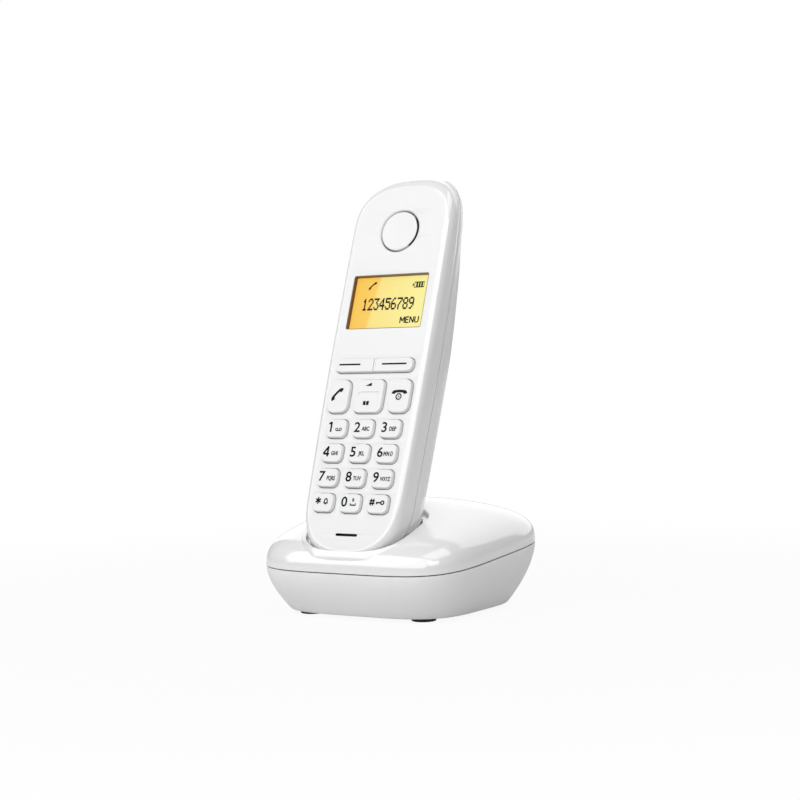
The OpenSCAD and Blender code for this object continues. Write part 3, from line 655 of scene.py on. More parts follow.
# a word or number as a mesh, scaled to the height of its capitals and squeezed in width
def word(text, height, x, z, squeeze, bold):
    curve = bpy.data.curves.new("word", "FONT")
    curve.body, curve.resolution_u, curve.offset = text, 3, bold
    helper = addObject("word", curve)
    mesh = bakedMesh(helper)
    points, faces = meshParts(mesh)
    bpy.data.objects.remove(helper)
    bpy.data.curves.remove(curve)
    bpy.data.meshes.remove(mesh)
    flat = points[:, :2]
    low, high = flat.min(0), flat.max(0)
    flat = (flat - (low + high) / 2) * height / (high[1] - low[1])
    return flat * (squeeze, 1) + (x, z), faces


# a band along a path, with one width or a width at each point
def stroke(path, width, closed=False):
    path = np.asarray(path, float)
    count = len(path)
    ahead = np.roll(path, -1, 0) - np.roll(path, 1, 0)
    if not closed:
        ahead[0], ahead[-1] = path[1] - path[0], path[-1] - path[-2]
    side = np.stack([-ahead[:, 1], ahead[:, 0]], 1) / np.linalg.norm(ahead, axis=1)[:, None]
    reach = side * np.broadcast_to(width, count)[:, None] / 2
    i = np.arange(count if closed else count - 1)
    j = (i + 1) % count
    return np.concatenate([path + reach, path - reach]), np.stack([count + i, count + j, j, i], 1).tolist()


def ringMark(x, z, radius, width):
    return stroke(circle(x, z, radius, 24), width, closed=True)


# characters drawn as pen lines in a box one high
penLines = {
    "1": [[(0.02, 0.8), (0.3, 0.98)], [(0.3, 1), (0.3, 0)]],
    "4": [[(0.5, 0), (0.5, 1)], [(0.53, 1), (0.02, 0.3)], [(0, 0.27), (0.68, 0.27)]],
    "M": [[(0, 0), (0, 1)], [(0.02, 1), (0.36, 0.3)], [(0.36, 0.3), (0.7, 1)], [(0.72, 1), (0.72, 0)]],
    "E": [[(0, 0), (0, 1)], [(0, 0.94), (0.54, 0.94)], [(0, 0.52), (0.47, 0.52)], [(0, 0.06), (0.54, 0.06)]],
    "N": [[(0, 0), (0, 1)], [(0.02, 0.98), (0.58, 0.02)], [(0.6, 0), (0.6, 1)]],
    "O": [[(0.33, 1), (0.1, 0.86), (0, 0.5), (0.1, 0.14), (0.33, 0), (0.56, 0.14), (0.66, 0.5), (0.56, 0.86),
           (0.33, 1)]],
    "U": [[(0, 1), (0, 0.3), (0.07, 0.12), (0.29, 0.05), (0.51, 0.12), (0.58, 0.3), (0.58, 1)]],
}


def penMark(character, x, z, height, squeeze, thick):
    return [stroke(np.array(line) * (height * squeeze, height) + (x, z - height / 2), thick)
            for line in penLines[character]]


# a telephone handset seen from the side: a flat arch whose ends turn down and are thicker,
# size is half its length, rise its height as a share of that, and thick the width of its line
def handsetMark(x, z, size, turn, thick, rise, ends):
    a = np.radians(np.linspace(10, 170, 33))
    arch = 0.7                # below 1 the arch is flatter than half an ellipse
    along = np.sign(np.cos(a)) * np.abs(np.cos(a)) ** arch
    path = np.stack([along, rise * (np.sin(a) ** arch - 0.5)], 1) * size
    points, faces = stroke(path, thick * (1 + ends * np.clip((np.abs(along) - 0.6) / 0.15, 0, 1)))
    c, s = math.cos(math.radians(turn)), math.sin(math.radians(turn))
    return points @ np.array([[c, s], [-s, c]]) + (x, z), faces


# a line through a point, at an angle and reaching as far to both sides
def rayMark(x, z, angle, reach, width):
    tip = reach * np.array([math.cos(math.radians(angle)), math.sin(math.radians(angle))])
    return stroke([(x, z) - tip, (x, z) + tip], width)


bell = np.array([(-1, -0.75), (-0.72, -0.45), (-0.66, 0.3), (-0.4, 0.85), (0, 1.05), (0.4, 0.85),
                 (0.66, 0.3), (0.72, -0.45), (1, -0.75), (0, -0.8)])
wedge = np.array([(-1.55, -0.58), (1.45, -0.58), (1.45, 0.7), (0.8, 0.52)])
page = np.array([(0.13, -0.9), (1.35, -0.75), (1.35, 0.9), (0.13, 0.75)])
keySigns = {                  # each drawn round the middle of its key
    # two reels for recorded messages
    "key_1": [ringMark(0.4, -0.5, 0.5, 0.34), ringMark(2.1, -0.5, 0.5, 0.34),
              stroke([(0.4, -1.05), (2.1, -1.05)], 0.32)],
    # star and bell
    "key_star": [rayMark(-2.3, 0.6, angle, 1.35, 0.62) for angle in (90, 150, 210)]
    + [stroke(bell * 0.95 + (1.3, 0.45), 0.52, closed=True), stroke([(0.95, -0.72), (1.65, -0.72)], 0.4)],
    # R above a space bar mark
    "key_0": [word("R", 1.4, 1.55, 1.2, 0.9, 0.04),
              stroke([(0.35, -0.15), (0.35, -0.85), (2.75, -0.85), (2.75, -0.15)], 0.56)],
    # hash and key
    "key_hash": [stroke([(shift - 2.55, -0.75), (shift - 2.25, 1.95)], 0.56) for shift in (-0.5, 0.5)]
    + [stroke([(-3.6, 0.6 + shift), (-1.2, 0.6 + shift)], 0.56) for shift in (-0.5, 0.5)]
    + [stroke([(-0.6, 0.45), (1.6, 0.45)], 0.56), ringMark(2.3, 0.45, 0.68, 0.54),
       stroke([(-0.2, 0.45), (-0.2, -0.2)], 0.6)],
    "call_key": [handsetMark(-0.5, 0.5, 2.8, 47, 1.0, 0.62, 0.6)],
    # handset over a ring with a pointer
    "end_key": [handsetMark(0, 1.0, 2.95, 0, 1.1, 0.52, 0.3), ringMark(-0.1, -0.45, 1.15, 0.5),
                stroke([(-0.5, -0.85), (-0.1, 0.05), (0.3, -0.85)], 0.3)],
    # wedge above, open book below
    "navigation_key": [(wedge + (-0.7, 4.6), [[0, 1, 2, 3]])]
    + [(page * (side, 1) + (-0.6, -3.0), [[0, 1, 2, 3][::side]]) for side in (-1, 1)],
    "left_soft_key": [stroke([(-7.25, 0.25), (2.75, 0.25)], 0.66)],
    "right_soft_key": [stroke([(-5.35, 0.25), (6.05, 0.25)], 0.66)],
}
letterGroups = dict(zip("23456789", "ABC DEF GHI JKL MNO PQRS TUV WXYZ".split()))
penDigits = {"1": 1.0, "4": 1.35}       # how far left of its middle each one starts


# black and grey patches of one key
def keyMarks(name):
    x, z = keyPlaces[name][:2]
    label, digitX, letterX, height = name[4:], ink["digitX"], ink["letterX"], ink["letterHeight"]
    black, grey = [], []
    if label in penDigits:
        left = digitX - penDigits[label]
        black += penMark(label, left, ink["digitZ"], ink["digitHeight"], 1, ink["digitPen"])
    elif label.isdigit():
        squeeze, bold = ink["digitSqueeze"], ink["digitBold"]
        black.append(word(label, ink["digitHeight"], digitX, ink["digitZ"], squeeze, bold))
    text = letterGroups.get(label, "")
    if "M" in text:           # an M would fill up if its lines were thickened, so it is drawn with a pen
        for number, character in enumerate(text):
            left = letterX + ink["penLeft"] + ink["penPitch"] * number
            grey += penMark(character, left, ink["letterZ"], height, 0.8, ink["letterPen"])
    elif text:                # J and Q hang below the line
        hang = ink["hang"] if "J" in text or "Q" in text else 0
        shift, squeeze = (0.35, 0.66) if len(text) == 4 else (0, 0.82)
        grey.append(word(text, height * (1 + hang), letterX + shift, ink["letterZ"] - height * hang / 2,
                         squeeze, ink["letterBold"]))
    black += keySigns.get(name, [])
    return [[(flat + (x, z), faces) for flat, faces in patches] for patches in (black, grey)]


# key cap: flange, straight body, rounded shoulder and a top that dips slightly to its middle
def keySteps(drop=0):
    top, face, size = keys["flangeTop"] + drop, -keys["proud"], keys["shoulder"]
    steps = [(keys["flangeSide"], top + keys["flangeThick"]), (keys["flangeSide"], top), (0, top), (0, 0.3)]
    draft, quarter = keys["draft"], unitArc(0, 90, 5)
    steps += [(size * (across - 1) - draft, face + size * (1 - up)) for across, up in quarter]
    edge, dip = -draft - size, face + keys["dish"]
    return steps + [(edge - 0.2, face + 0.012), (edge - 0.5, dip), (edge - 1.3, dip)]


# the two soft keys are one bar, cut in the middle, where each has half of a rib
def softCap(side):
    rings = rectRings(softBar, keySteps(), 12)
    for ring in rings:
        ring[:, 0] = side * np.maximum(side * ring[:, 0], 0.1)
    x0, x1 = sorted((0.12 * side, 0.75 * side))
    z, half = keys["softZ"], keys["softHeight"] / 2 - 0.5
    return joinParts([solidPart(rings), boxPart((x0, -keys["proud"] - 0.12, z - half), (x1, 0, z + half))])


# the navigation key has a shallow bar pressed into its top
def navigationCap(spec):
    cap = addPiece("cap", solidPart(rectRings(spec, keySteps(keys["navDrop"]))), ["keyWhite"], smooth=None)
    y = keys["dish"] - keys["proud"]
    bar = [(-0.25, y + 0.32), (-0.05, y + 0.26), (0.05, y + 0.02), (0.1, y - 0.3)]
    carve(cap, solidPart(rectRings((0, spec[1] + 0.6, 10, 2.1, 1), bar)), "keyWhite")
    points, faces = meshParts(cap.data)
    bpy.data.objects.remove(cap)
    return fromDock(points), faces


# a key: its cap, and its ink just over the top
def makeKey(name):
    spec = keyPlaces[name]
    if "soft" in name:
        points, faces = softCap(1 if spec[0] > 0 else -1)
    elif name == "navigation_key":
        points, faces = navigationCap(spec)
    else:
        points, faces = solidPart(rectRings(spec, keySteps()))
    # painted shade: below the shell's face the cap is painted grey, for the shade in the gap round the key
    indices = [3 if points[face, 1].min() > 0.1 else 0 for face in faces]
    parts = [(points, faces)]
    y = keys["dish"] * 0.4 - keys["proud"] - ink["rise"]
    for index, patches in enumerate(keyMarks(name), 1):
        for flat, flatFaces in patches:
            parts.append((standing(flat, y), flatFaces))
            indices += [index] * len(flatFaces)
    title = name[:-4] + "Key" if name.endswith("_key") else name + "_cap"
    materials = ["keyWhite", "keyInk", "letterInk", "seamGrey"]
    seat(addPiece(title, joinParts(parts), materials, indices=indices, smooth=40), name, "key_white", name)


for name in keyPlaces:
    makeKey(name)
print("keys made:", len(keyPlaces))

# display: clear pane, dark liner round it, lit panel with characters behind it
display = {
    "liner": 0.28, "linerFront": 0.1, "paneFront": 0.9, "paneThick": 0.6, "panelDepth": 2.1,
    "panelThick": 0.28, "grain": 0.3, "grainDeep": 0.002, "rough": 0.6,
    # the pale amber and the slanted range it rises over are a painted reflection on the lit panel
    "deepAmber": (1.0, 0.585, 0.075), "reflectionPaleAmber": (1.0, 0.93, 0.35), "glow": 1.1, "body": 0.25,
    "reflectionFrom": -39.2, "reflectionTo": -2.1, "reflectionSlant": -0.16, "blends": ((0.3, 0.12), (0.34, 0.62)),
    "cell": 0.46, "text": "123456789", "textX": -0.75, "textZ": 104.8, "characterPitch": 2.75,
    "batteryX": 10.4, "batteryZ": 112.45, "menuLefts": (6.4, 8.95, 10.95, 13.25), "menuZ": 97.75,
}
dotDigits = {
    "1": "..#.. .##.. ..#.. ..#.. ..#.. ..#.. .###.", "2": ".###. #...# ....# ...#. ..#.. .#... #####",
    "3": "##### ...#. ..#.. ...#. ....# #...# .###.", "4": "...#. ..##. .#.#. #..#. ##### ...#. ...#.",
    "5": "##### #.... ####. ....# ....# #...# .###.", "6": "..##. .#... #.... ####. #...# #...# .###.",
    "7": "##### ....# ...#. ..#.. .#... .#... .#...", "8": ".###. #...# #...# .###. #...# #...# .###.",
    "9": ".###. #...# #...# .#### ....# ...#. .##..",
}


# one character as small squares, one for each dot that is on
def dotCharacter(character, x, z, cell):
    rows = np.array([[c == "#" for c in row] for row in dotDigits[character].split()])
    down, across = np.nonzero(rows)
    centre = np.stack([x + (across - 2) * cell, z + (3 - down) * cell * 1.56], 1)
    square = np.array([(-1, -1), (1, -1), (1, 1), (-1, 1)]) * (cell * 0.72, cell * 0.88)
    points = (centre[:, None] + square).reshape(-1, 2)
    return points, (np.arange(len(centre))[:, None] * 4 + np.arange(4)).tolist()


# lit panel: the backlight glows amber, and a painted reflection pales it to the right of a slanted edge
def amberGlow(s):
    tree, shader = newMaterial("amberPanel")
    place = addGrain(tree, shader, s["grain"], s["grainDeep"])
    parts = addNode(tree, "ShaderNodeSeparateXYZ", {"Vector": place}).outputs
    # a ramp along a slanted line paints the reflection, paler to the right
    across = addMath(tree, "ADD", parts["X"], addMath(tree, "MULTIPLY", parts["Z"], s["reflectionSlant"]))
    ramp = addRange(tree, across, {"From Min": s["reflectionFrom"] * mm, "From Max": s["reflectionTo"] * mm})
    colours = addNode(tree, "ShaderNodeValToRGB", {"Fac": ramp})
    stops = colours.color_ramp.elements
    stops[0].color, stops[1].color = (*s["deepAmber"], 1), (*s["reflectionPaleAmber"], 1)
    for position, blend in s["blends"]:
        stops.new(position).color = (*lerp(np.array(s["deepAmber"]), np.array(s["reflectionPaleAmber"]), blend), 1)
    amber = colours.outputs["Color"]
    setInputs(shader, {"Base Color": addMix(tree, s["body"], (0, 0, 0, 1), amber), "Emission Color": amber,
                       "Emission Strength": s["glow"], "Roughness": s["rough"]})


def clearPane():
    tree, shader = newMaterial("clearPane")
    addGrain(tree, shader, 3, 0.002)
    setInputs(shader, {"Base Color": (0.02, 0.02, 0.02, 1), "Alpha": 0.15, "Specular IOR Level": 0.15,
                       "Roughness": 0.02})


# digits, a handset, a battery with three bars, and the word for a menu
def displayMarks():
    pitch, left, low = display["characterPitch"], display["batteryX"], display["batteryZ"]
    start = display["textX"] - (len(display["text"]) - 1) / 2 * pitch
    patches = [dotCharacter(character, start + number * pitch, display["textZ"], display["cell"])
               for number, character in enumerate(display["text"])]
    patches.append(handsetMark(-9.34, 112.6, 1.9, 42, 0.66, 0.5, 0.6))
    frameLine = [(left, low - 1.05), (left + 4.4, low - 1.05), (left + 4.4, low + 1.05), (left, low + 1.05)]
    patches.append(stroke(frameLine, 0.46, closed=True))
    patches += [stroke([(left + x, low - 0.9), (left + x, low + 0.9)], 0.8) for x in (1.2, 2.35, 3.5)]
    patches.append(stroke([(left - 0.6, low - 0.5), (left - 0.6, low + 0.5)], 0.6))
    for character, place in zip("MENU", display["menuLefts"]):
        patches += penMark(character, place, display["menuZ"], 2.6, 1.04, 0.54)
    return patches


# liner and pane between the steps of the window, and the lit panel with its characters behind them
def makeDisplay():
    inside, front, deep = -display["liner"], display["linerFront"], display["panelDepth"]
    back = deep + 0.02
    liner = rectRings(windowPlace, [(-0.02, back), (-0.02, front), (inside, front + 0.06), (inside, back)])
    frameRing = addPiece("windowLiner", solidPart(liner + liner[:1], None, None), ["brownFrame"])
    seat(frameRing, "handset", "amber_window")
    edge, near, far = inside - 0.02, display["paneFront"], display["paneFront"] + display["paneThick"]
    pane = rectRings(windowPlace, [(edge, far), (edge, near + 0.05), (edge - 0.05, near)])
    seat(addPiece("windowPane", solidPart(pane), ["clearPane"]), "handset", "amber_window", "display_lens")
    panel = rectRings(windowPlace, [(0.1, deep + display["panelThick"]), (0.1, deep)])
    seat(addPiece("displayPanel", solidPart(panel), ["amberPanel"]), "handset", "amber_window")
    marks = joinParts([(standing(flat, deep - 0.03), faces) for flat, faces in displayMarks()])
    seat(addPiece("displayCharacters", marks, ["keyInk"], smooth=None), "handset", "black_plastic")


amberGlow(display)
clearPane()
makeDisplay()
print("display made")


# painted shade: the walls of the earpiece's open crescent are painted black from a little under the surface,
# and the gap round the disc is painted grey
def paintEarSlotShade(mesh):
    mesh.materials.append(finish["blackPlastic"])
    mesh.materials.append(finish["seamGrey"])
    x, y, z = faceMiddles(mesh)
    z -= ear["z"]
    turn, wall = np.degrees(np.arctan2(z, x)), np.hypot(x, z) > ear["disc"] - 0.02
    crescent = (turn > ear["from"]) & (turn < ear["to"]) & wall & (y > 0.2)
    gap = wall & (y > ear["collar"] - 0.3)
    mesh.polygons.foreach_set("material_index", np.where(crescent, 1, np.where(gap, 2, 0)))


# earpiece disc: a collar, a rounded edge and a face that a parabola hollows, with an open crescent beside it
def makeEarpiece():
    top, disc, collar = handset["faceWall"], ear["disc"], ear["disc"] + ear["slot"] - 0.05
    profile = [(ear["flange"], top + 0.6), (ear["flange"], top), (collar, top), (collar, ear["collar"]),
               (disc, ear["collar"])]
    profile += [(disc - 0.35 * (1 - across), 0.5 - 0.38 * up) for across, up in unitArc(0, 90, 5)]
    profile += [(radius, 0.12 + 0.34 * (1 - (radius / 7.6) ** 2)) for radius in (7.6, 6.4, 5, 3.5, 2, 0.8)]
    piece = addPiece("earpieceDisc", solidPart(latheRings(profile, 0, ear["z"], 120)), ["faceWhite"])
    arc = unitArc(ear["from"], ear["to"], 30)
    flat = np.concatenate([arc * (disc + ear["slot"] + 0.01), arc[::-1] * disc]) + (0, ear["z"])
    carve(piece, solidPart([standing(flat, -1), standing(flat, top + 2)]), "faceWhite")
    paintEarSlotShade(piece.data)
    seat(piece, "handset", "face_white", "earpiece_disc")


makeEarpiece()
print("earpiece made")

# base: a domed cover with the cradle well, over a tub that narrows to its floor
base = {
    "width": 92.4, "depth": 89.6, "floorWidth": 77.2, "floorDepth": 68.6, "floorForward": 2.4,
    "jointZ": 22.4, "jointSlope": 4.7, "jointGap": 0.32,
    "rimPower": 4.2, "floorPower": 3.8, "crownPower": 2.4,
    "crownZ": 43.9, "crownSlope": 0.098, "crownDrop": 3.5, "crownIn": 1.39, "crownUp": 3.06, "tubPower": 1.7,
    "coverWall": 1.6, "tubWall": 2, "footHeight": 1.5, "footWidth": 9.6, "footX": 26, "footY": (-26, 20),
    "wellPower": 3.4, "wellX": 23.4, "wellFront": -0.4, "wellBack": 26.4, "wellFloor": -0.1, "wellEdge": 0.9,
    "pocketGap": 0.4, "pocketMiddle": 9, "ledgeDrop": 2, "ledgeEdge": 0.5, "pinRadius": 1.15,
    "lip": 0.3, "lipRise": 0.12,
    "around": 288, "domeSteps": 44, "wellSteps": 14, "ledgeSteps": 8, "tubSteps": 26,
}
tub = {
    "edgeFrom": 0.955, "edgeIn": 0.9, "screwX": 32, "screwY": (-20, 11), "screwRadius": 2.5,
    "pagingY": 14, "pagingRadius": 3.8, "holeHeight": 6,
    "socketY": 37.6, "socketZ": 9, "socketWall": 1.6, "socketRoom": 0.15,
    "sockets": ((-13, 9.8, 7), (13, 7.4, 5.4)),       # x, width and height of the mouths for line and power
}
denseAngles = np.linspace(0, 2 * np.pi, 4000, endpoint=False)


# halves a range for each item again and again: the test holds at its low end and fails at its high end
def halve(test, like, low, high):
    low, high = np.full(len(like), float(low)), np.full(len(like), float(high))
    for _ in range(40):
        middle = (low + high) / 2
        holds = test(middle)
        low, high = np.where(holds, middle, low), np.where(holds, high, middle)
    return low, high


# height of the joint between cover and tub: a plane that rises to the back
def jointAt(y):
    return base["jointZ"] + y * math.tan(math.radians(base["jointSlope"]))


# height of the dome's crown: a plane that rises to the back, less a parabola
def crownAt(y):
    return base["crownZ"] + base["crownSlope"] * y - base["crownDrop"] * (2 * y / base["depth"]) ** 2


# height of the dome over a point: s is the size of the superellipse through it, found by halving,
# and the dome stands (1 - s^crownIn)^(1/crownUp) of the way from the joint to the crown
def domeHeight(x, y, under=0):
    scale = 1 - 2 * under / base["width"]
    u, v = np.abs(2 * x / base["width"] / scale), np.abs(2 * y / base["depth"] / scale)

    def beyond(s):
        power = lerp(base["crownPower"], base["rimPower"], s)
        return u ** power + v ** power > s ** power

    size = halve(beyond, u, 0, 1)[1]
    up = np.maximum(0, 1 - size ** base["crownIn"]) ** (1 / base["crownUp"])
    return lerp(jointAt(y) + base["jointGap"] / 2, crownAt(y) - under, up)


# the well's outline in the handset's directions, a superellipse
def wellPlan(angle, grow=0):
    middle, half = (base["wellFront"] + base["wellBack"]) / 2, (base["wellBack"] - base["wellFront"]) / 2
    arc = superPower(np.stack([np.cos(angle), np.sin(angle)], 1), base["wellPower"])
    return arc * (base["wellX"] + grow, half + grow) + (0, middle)


# a ring in the row frame from a plan and a height in the handset's directions
def dockRing(plan, height):
    return toDock(np.column_stack([plan, np.broadcast_to(height, len(plan))])) / mm


# whether points of a plan, at a height along the handset, lie below the dome or a surface under it
def belowDome(plan, height, under):
    x, y, z = dockRing(plan, height).T
    return z < domeHeight(np.clip(x, -base["width"] / 2, base["width"] / 2), y, under)


# height along the handset at which columns of a plan meet the dome, or a surface under it
def meetsDome(plan, under=0):
    return halve(lambda height: belowDome(plan, height, under), plan, base["wellFloor"], 60)[0]


# the pocket follows the handset's outside at a gap: its half width at a depth y and a height z, where the
# end's superellipse is narrower by the rim's inset in front and by the back's shrinking behind the joint
def pocketHalf(y, z):
    gap = base["pocketGap"]
    turn = np.arccos(np.clip(1 - (y + gap / 2) / handset["rimDepth"], 0, 1))
    inset = handset["rimWidth"] * (1 - np.sin(turn)) - gap
    up = np.clip((y - seamAt(z)) / (backAt(z) + gap - seamAt(z)), 0, 1)
    shrink = (1 - up ** handset["backPower"]) ** (1 / handset["backPower"])
    end = np.maximum(1e-6, (handset["endLength"] - inset * handset["lowRatio"]) * shrink)
    drop = np.clip((handset["endLength"] - z) / end, 0, 1)
    return (halfWidth(z) - inset) * shrink * (1 - drop ** handset["endPower"]) ** (1 / handset["endPower"])


# plan points of the pocket's wall at a height, on rays from the pocket's middle to the well's outline
def pocketPlan(angle, z):
    middle = np.array([0, base["pocketMiddle"]])
    ray = wellPlan(angle) - middle

    def inside(share):
        x, y = (middle + ray * share[:, None]).T
        return (np.abs(x) < pocketHalf(y, z)) & (y > -base["pocketGap"] / 2)

    return middle + ray * halve(inside, angle, 0, 1.2)[0][:, None]


# height at which the pocket's wall meets the ledge
def pocketTop(angle):
    return halve(lambda height: belowDome(pocketPlan(angle, height), height, base["ledgeDrop"]), angle,
                 base["wellFloor"], 40)[0]


# points of the base's outline in the given directions from a centre
def rimPoint(direction, centre):
    def inside(distance):
        x, y = (centre + direction * distance[:, None]).T
        across, along = np.abs(2 * x / base["width"]), np.abs(2 * y / base["depth"])
        return across ** base["rimPower"] + along ** base["rimPower"] < 1

    return centre + direction * halve(inside, direction, 0, 120)[0][:, None]


# share of a closed line's length up to each of its points, and 1 where it closes
def lengthAlong(line):
    step = np.linalg.norm(np.roll(line, -1, 0) - line, axis=1)
    return np.concatenate([[0], np.cumsum(step)]) / step.sum()


# angles at which a share, given at the dense angles, takes even steps
def evenAngles(share):
    return np.interp(np.arange(base["around"]) / base["around"], share, np.append(denseAngles, 2 * np.pi))


# rounded edge: a quadratic curve between two rings that leans towards the sharp corner
def roundedEdge(first, corner, last, steps):
    shares = np.linspace(0, 1, steps + 1)[1:]
    return [(1 - t) ** 2 * first + 2 * t * (1 - t) * corner + t ** 2 * last for t in shares]


# where the well meets the dome: height along the handset, and the sharp edge there
def wellEdge(angle):
    meet = meetsDome(wellPlan(angle))
    return meet, dockRing(wellPlan(angle), meet)


# level directions from a centre through the points of a ring
def outwardFrom(centre, ring):
    away = ring[:, :2] - centre
    return away / np.linalg.norm(away, axis=1)[:, None]


# the well: its floor, the pocket's wall with a rounded top, the ledge and the well's own wall
def wellRows(angle, meet):
    floor, top, drop = base["wellFloor"], pocketTop(angle), base["ledgeDrop"]
    middle, foot = np.array([0, base["pocketMiddle"]]), pocketPlan(angle, floor)
    rows = [dockRing(lerp(middle, foot, size), floor) for size in (0.06, 0.3, 0.6, 0.9)]
    for t in np.linspace(0, 1, base["wellSteps"] + 1) ** 1.6:
        height = lerp(floor, np.maximum(floor, top - base["ledgeEdge"]), t)
        rows.append(dockRing(pocketPlan(angle, height), height))
    corner, outer = pocketPlan(angle, top), wellPlan(angle, -0.05)
    for t in np.linspace(0, 1, base["ledgeSteps"] + 1)[1:]:
        plan = lerp(corner, outer, t)
        rows.append(dockRing(plan, meetsDome(plan, drop)))
    rise = meetsDome(outer, drop)
    high = np.maximum(rise + 0.1, meet - base["wellEdge"])
    return rows + [dockRing(wellPlan(angle), lerp(rise, high, t)) for t in (0.15, 0.6, 1)]


# turns an open skin's faces up or down, and gives it a wall behind them
def thicken(piece, side, wall):
    normals, areas = readAll(piece.data.polygons, "normal", 3), readAll(piece.data.polygons, "area")
    if (normals[:, 2] * side * areas).sum() < 0:
        piece.data.flip_normals()
    change = piece.modifiers.new("wall", "SOLIDIFY")
    change.thickness, change.offset = wall * mm, -1
    piece.data = bakedMesh(piece)


# cover: rings from the middle of the well up its walls, round its edge and down the dome to the rim
def makeBaseCover():
    meet, edge = wellEdge(denseAngles)
    centre = np.array([0, edge[:, 1].mean()])
    # the columns are spread half by the length of the rim and half by the length of the well's edge
    rim = rimPoint(outwardFrom(centre, edge), centre)
    angle = evenAngles((lengthAlong(rim) + lengthAlong(edge[:, :2])) / 2)
    meet, edge = wellEdge(angle)
    outward = outwardFrom(centre, edge)
    rim = rimPoint(outward, centre)
    rows = wellRows(angle, meet)
    plan = edge[:, :2] + outward * base["wellEdge"]
    rows += roundedEdge(rows[-1], edge, np.column_stack([plan, domeHeight(*plan.T)]), 7)[:-1]
    for t in np.linspace(0, 1, base["domeSteps"] + 1):
        ring = lerp(plan, rim, 1 - (1 - t) ** 3)
        rows.append(np.column_stack([ring, domeHeight(*ring.T)]))
    share = 1 - 2 * base["lip"] / base["width"]
    lip = rows[-1] * (share, share, 1)
    rows[-1][:, 2] += base["lipRise"]
    cover = addPiece("baseCover", skinRings(rows + [lip], "flat", None), ["glossWhite"], toBase)
    thicken(cover, 1, base["coverWall"])
    pins = [rod(uprightRings, base["pinRadius"], -6, 3, x, y, 32) for x, y in padPlaces]
    carve(cover, joinParts(pins), "glossWhite")
    seat(cover, "base", "gloss_white", "base_cover")


# superellipse at the given angles, seen from its middle
def ovalAt(a, width, depth, power):
    arc = np.stack([np.cos(a), np.sin(a)], 1)
    size = (np.abs(arc) ** power).sum(1) ** (-1 / power)
    return arc * size[:, None] * (width / 2, depth / 2)


def rimOval(a):
    return ovalAt(a, base["width"], base["depth"], base["rimPower"])


# tub: each ring lies between the rim's outline and the floor's, by the share s^tubPower
def tubRing(a, s, inset=0):
    floor = ovalAt(a, base["floorWidth"], base["floorDepth"], base["floorPower"]) - (0, base["floorForward"])
    plan = lerp(rimOval(a), floor, s ** base["tubPower"]) * (1 - 2 * inset / base["width"])
    return np.column_stack([plan, lerp(jointAt(plan[:, 1]) - base["jointGap"] / 2, base["footHeight"], s)])


# holes in the tub: two for the sockets in its back, then those for feet, paging key and screws in its floor
def tubHoles():
    low, more = tub["socketZ"] - tub["socketRoom"], tub["socketWall"] + tub["socketRoom"]
    start, end = tub["socketY"] - 8, tub["socketY"] + 12
    cuts = [boxPart((x - wide / 2 - more, start, low), (x + wide / 2 + more, end, low + high + 2 * more))
            for x, wide, high in tub["sockets"]]
    feet, screws = mirrored(base["footX"], base["footY"]), mirrored(tub["screwX"], tub["screwY"])
    for radius, high, places in ((base["footWidth"] / 2 + 0.1, base["footHeight"] + 0.5, feet),
                                 (tub["pagingRadius"], tub["holeHeight"], [(0, tub["pagingY"])]),
                                 (tub["screwRadius"], tub["holeHeight"], screws)):
        cuts += [rod(uprightRings, radius, 0, high, x, y) for x, y in places]
    return joinParts(cuts)


# tub: rings from the joint down to a rounded edge, and in under the floor
def makeTub():
    a, edgeFrom = evenAngles(lengthAlong(rimOval(denseAngles))), tub["edgeFrom"]
    rows = [tubRing(a, 0, base["lip"]), tubRing(a, 0) - (0, 0, base["lipRise"])]
    rows += [tubRing(a, s) for s in np.linspace(0.02, edgeFrom, base["tubSteps"])]
    floor = tubRing(a, 1, tub["edgeIn"])
    rows += roundedEdge(tubRing(a, edgeFrom), tubRing(a, 1), floor, 6)
    rows += [floor * (s, s, 1) for s in (0.8, 0.5, 0.2, 0.02)]
    piece = addPiece("baseTub", skinRings(rows, None, "flat"), ["satinWhite"], toBase)
    thicken(piece, -1, base["tubWall"])
    carve(piece, tubHoles(), "satinWhite", place=toBase)
    seat(piece, "base", "satin_white", "base_tub")


# four round feet, hollowed underneath
def makeFeet():
    radius, high = base["footWidth"] / 2, base["footHeight"] + 0.5
    profile = [(radius, high), (radius, 0.35), (radius - 0.1, 0.12), (radius - 0.35, 0), (radius - 1.4, 0),
               (radius - 1.7, 0.18), (0.6, 0.18)]
    feet = [solidPart(uprightRings(profile, x, y)) for x, y in mirrored(base["footX"], base["footY"])]
    piece = addPiece("rubberFeet", joinParts(feet), ["blackRubber"], toBase)
    seat(piece, "base", "black_rubber", "rubber_feet")


makeBaseCover()
makeTub()
makeFeet()
print("base made")

# finishes of the nodes that stay as they are
nodeFinish = {
    "display_module": "brightMetal", "earpiece_speaker": "blackPlastic", "ringer_speaker": "blackPlastic",
    "microphone": "blackRubber", "keypad_mat": "greyRubber", "handset_board": "boardGreen",
    "battery_cells": "cellSleeve", "battery_springs": "brightMetal", "handset_contacts": "contactGold",
    "handset_screws": "brightMetal", "base_board": "boardGreen", "base_contacts": "contactGold",
    "line_socket": "blackPlastic", "power_socket": "blackPlastic", "paging_key": "keyWhite",
    "base_screws": "brightMetal",
}
for name, material in nodeFinish.items():
    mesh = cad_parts[name].data
    mesh.materials.clear()
    mesh.materials.append(finish[material])

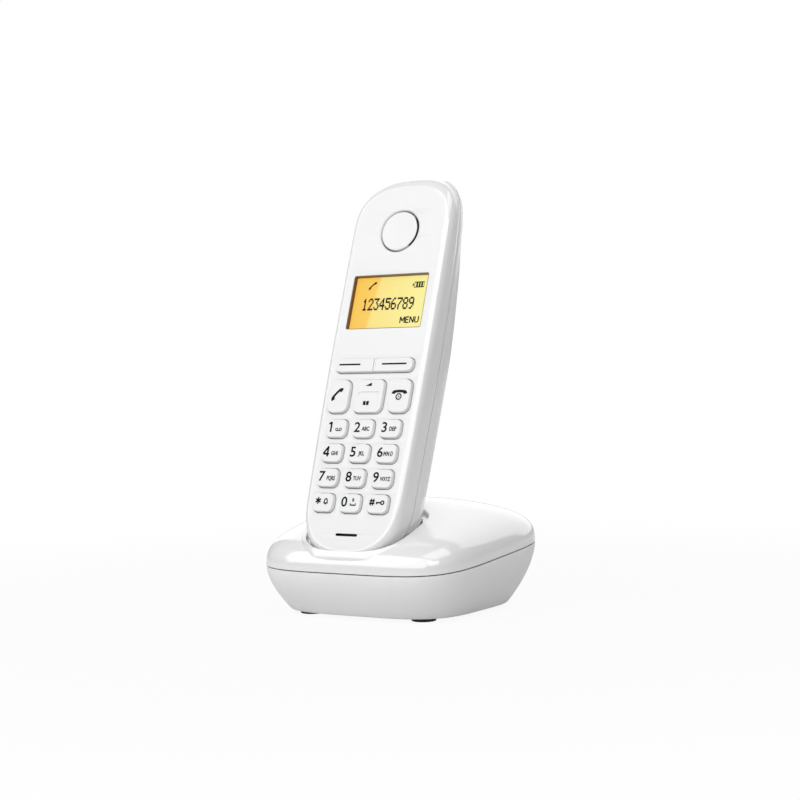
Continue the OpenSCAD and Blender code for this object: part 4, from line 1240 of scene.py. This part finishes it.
studioSettings = {
    "floorSize": 8000, "floorGrey": 0.7, "shadowNear": 150, "shadowFar": 420, "floorShare": 0.07,
    "skyLevel": 0.2, "mirroredShare": 0.4, "aim": (0, 0, 70),
    # place, size in two directions, and power; each looks at the aim
    "lamps": {
        "keyLamp": ((-240, -1160, 980), (2800, 1500), 23.5),
        "backLamp": ((-270, 1180, 820), (2460, 1500), 9.8),
        "sideLamp": ((553, -98, 1460), (1100, 900), 4.3),
        "rimLamp": ((1023, -800, 820), (600, 600), 2.6),
    },
}


# how much of the white background a ray sees: all of it straight from the camera or through the clear pane,
# and the mirrored share in a reflection, where the room round the backdrop is a little darker
def whiteRays(tree, s):
    rays = addNode(tree, "ShaderNodeLightPath", {}).outputs
    straight = addMath(tree, "MAXIMUM", rays["Is Camera Ray"], rays["Is Transmission Ray"])
    glossy = addMath(tree, "MULTIPLY", rays["Is Glossy Ray"], s["mirroredShare"])
    return addMath(tree, "MAXIMUM", straight, glossy)


# the floor takes shadows near the object and fades to plain white away from it
def makeFloor(s):
    mesh = bpy.data.meshes.new("floor")
    corners = np.array([(-1, -1, 0), (1, -1, 0), (1, 1, 0), (-1, 1, 0)]) * s["floorSize"] / 2 * mm
    mesh.from_pydata(corners.tolist(), [], [(0, 1, 2, 3)])
    tree, shader = newMaterial("floorWhite")
    setInputs(shader, {"Base Color": (*[s["floorGrey"]] * 3, 1), "Roughness": 0.9, "Specular IOR Level": 0})
    place = addNode(tree, "ShaderNodeTexCoord", {}).outputs["Object"]
    away = addNode(tree, "ShaderNodeVectorMath", {0: place}, operation="LENGTH").outputs["Value"]
    limits = {"From Min": s["shadowNear"] * mm, "From Max": s["shadowFar"] * mm,
              "To Min": 1 - s["floorShare"], "To Max": 1}
    fade = addRange(tree, away, limits, interpolation_type="SMOOTHSTEP")
    share = addMath(tree, "MULTIPLY", whiteRays(tree, s), fade)
    white = addNode(tree, "ShaderNodeEmission", {"Color": (1, 1, 1, 1), "Strength": 1})
    mix = addNode(tree, "ShaderNodeMixShader", {0: share, 1: shader.outputs[0], 2: white.outputs[0]})
    setInputs(tree.nodes["Material Output"], {"Surface": mix.outputs[0]})
    mesh.materials.append(finish["floorWhite"])
    addObject("floor", mesh)


def makeSky(s):
    world = bpy.data.worlds.new("studio")
    scene.world = world
    world.use_nodes = True
    level = addRange(world.node_tree, whiteRays(world.node_tree, s), {"To Min": s["skyLevel"], "To Max": 1})
    setInputs(world.node_tree.nodes["Background"], {"Color": (1, 1, 1, 1), "Strength": level})


# lamps are flat and look at one point
def makeLamps(s):
    for name, (place, size, power) in s["lamps"].items():
        data = bpy.data.lights.new(name, "AREA")
        data.shape, data.size, data.size_y, data.energy = "RECTANGLE", size[0] * mm, size[1] * mm, power
        lamp = addObject(name, data)
        lamp.location = Vector(place) * mm
        lamp.rotation_euler = (Vector(s["aim"]) * mm - lamp.location).to_track_quat("-Z", "Y").to_euler()


makeFloor(studioSettings)
makeSky(studioSettings)
makeLamps(studioSettings)
scene.view_settings.view_transform = "Standard"
print("studio made")
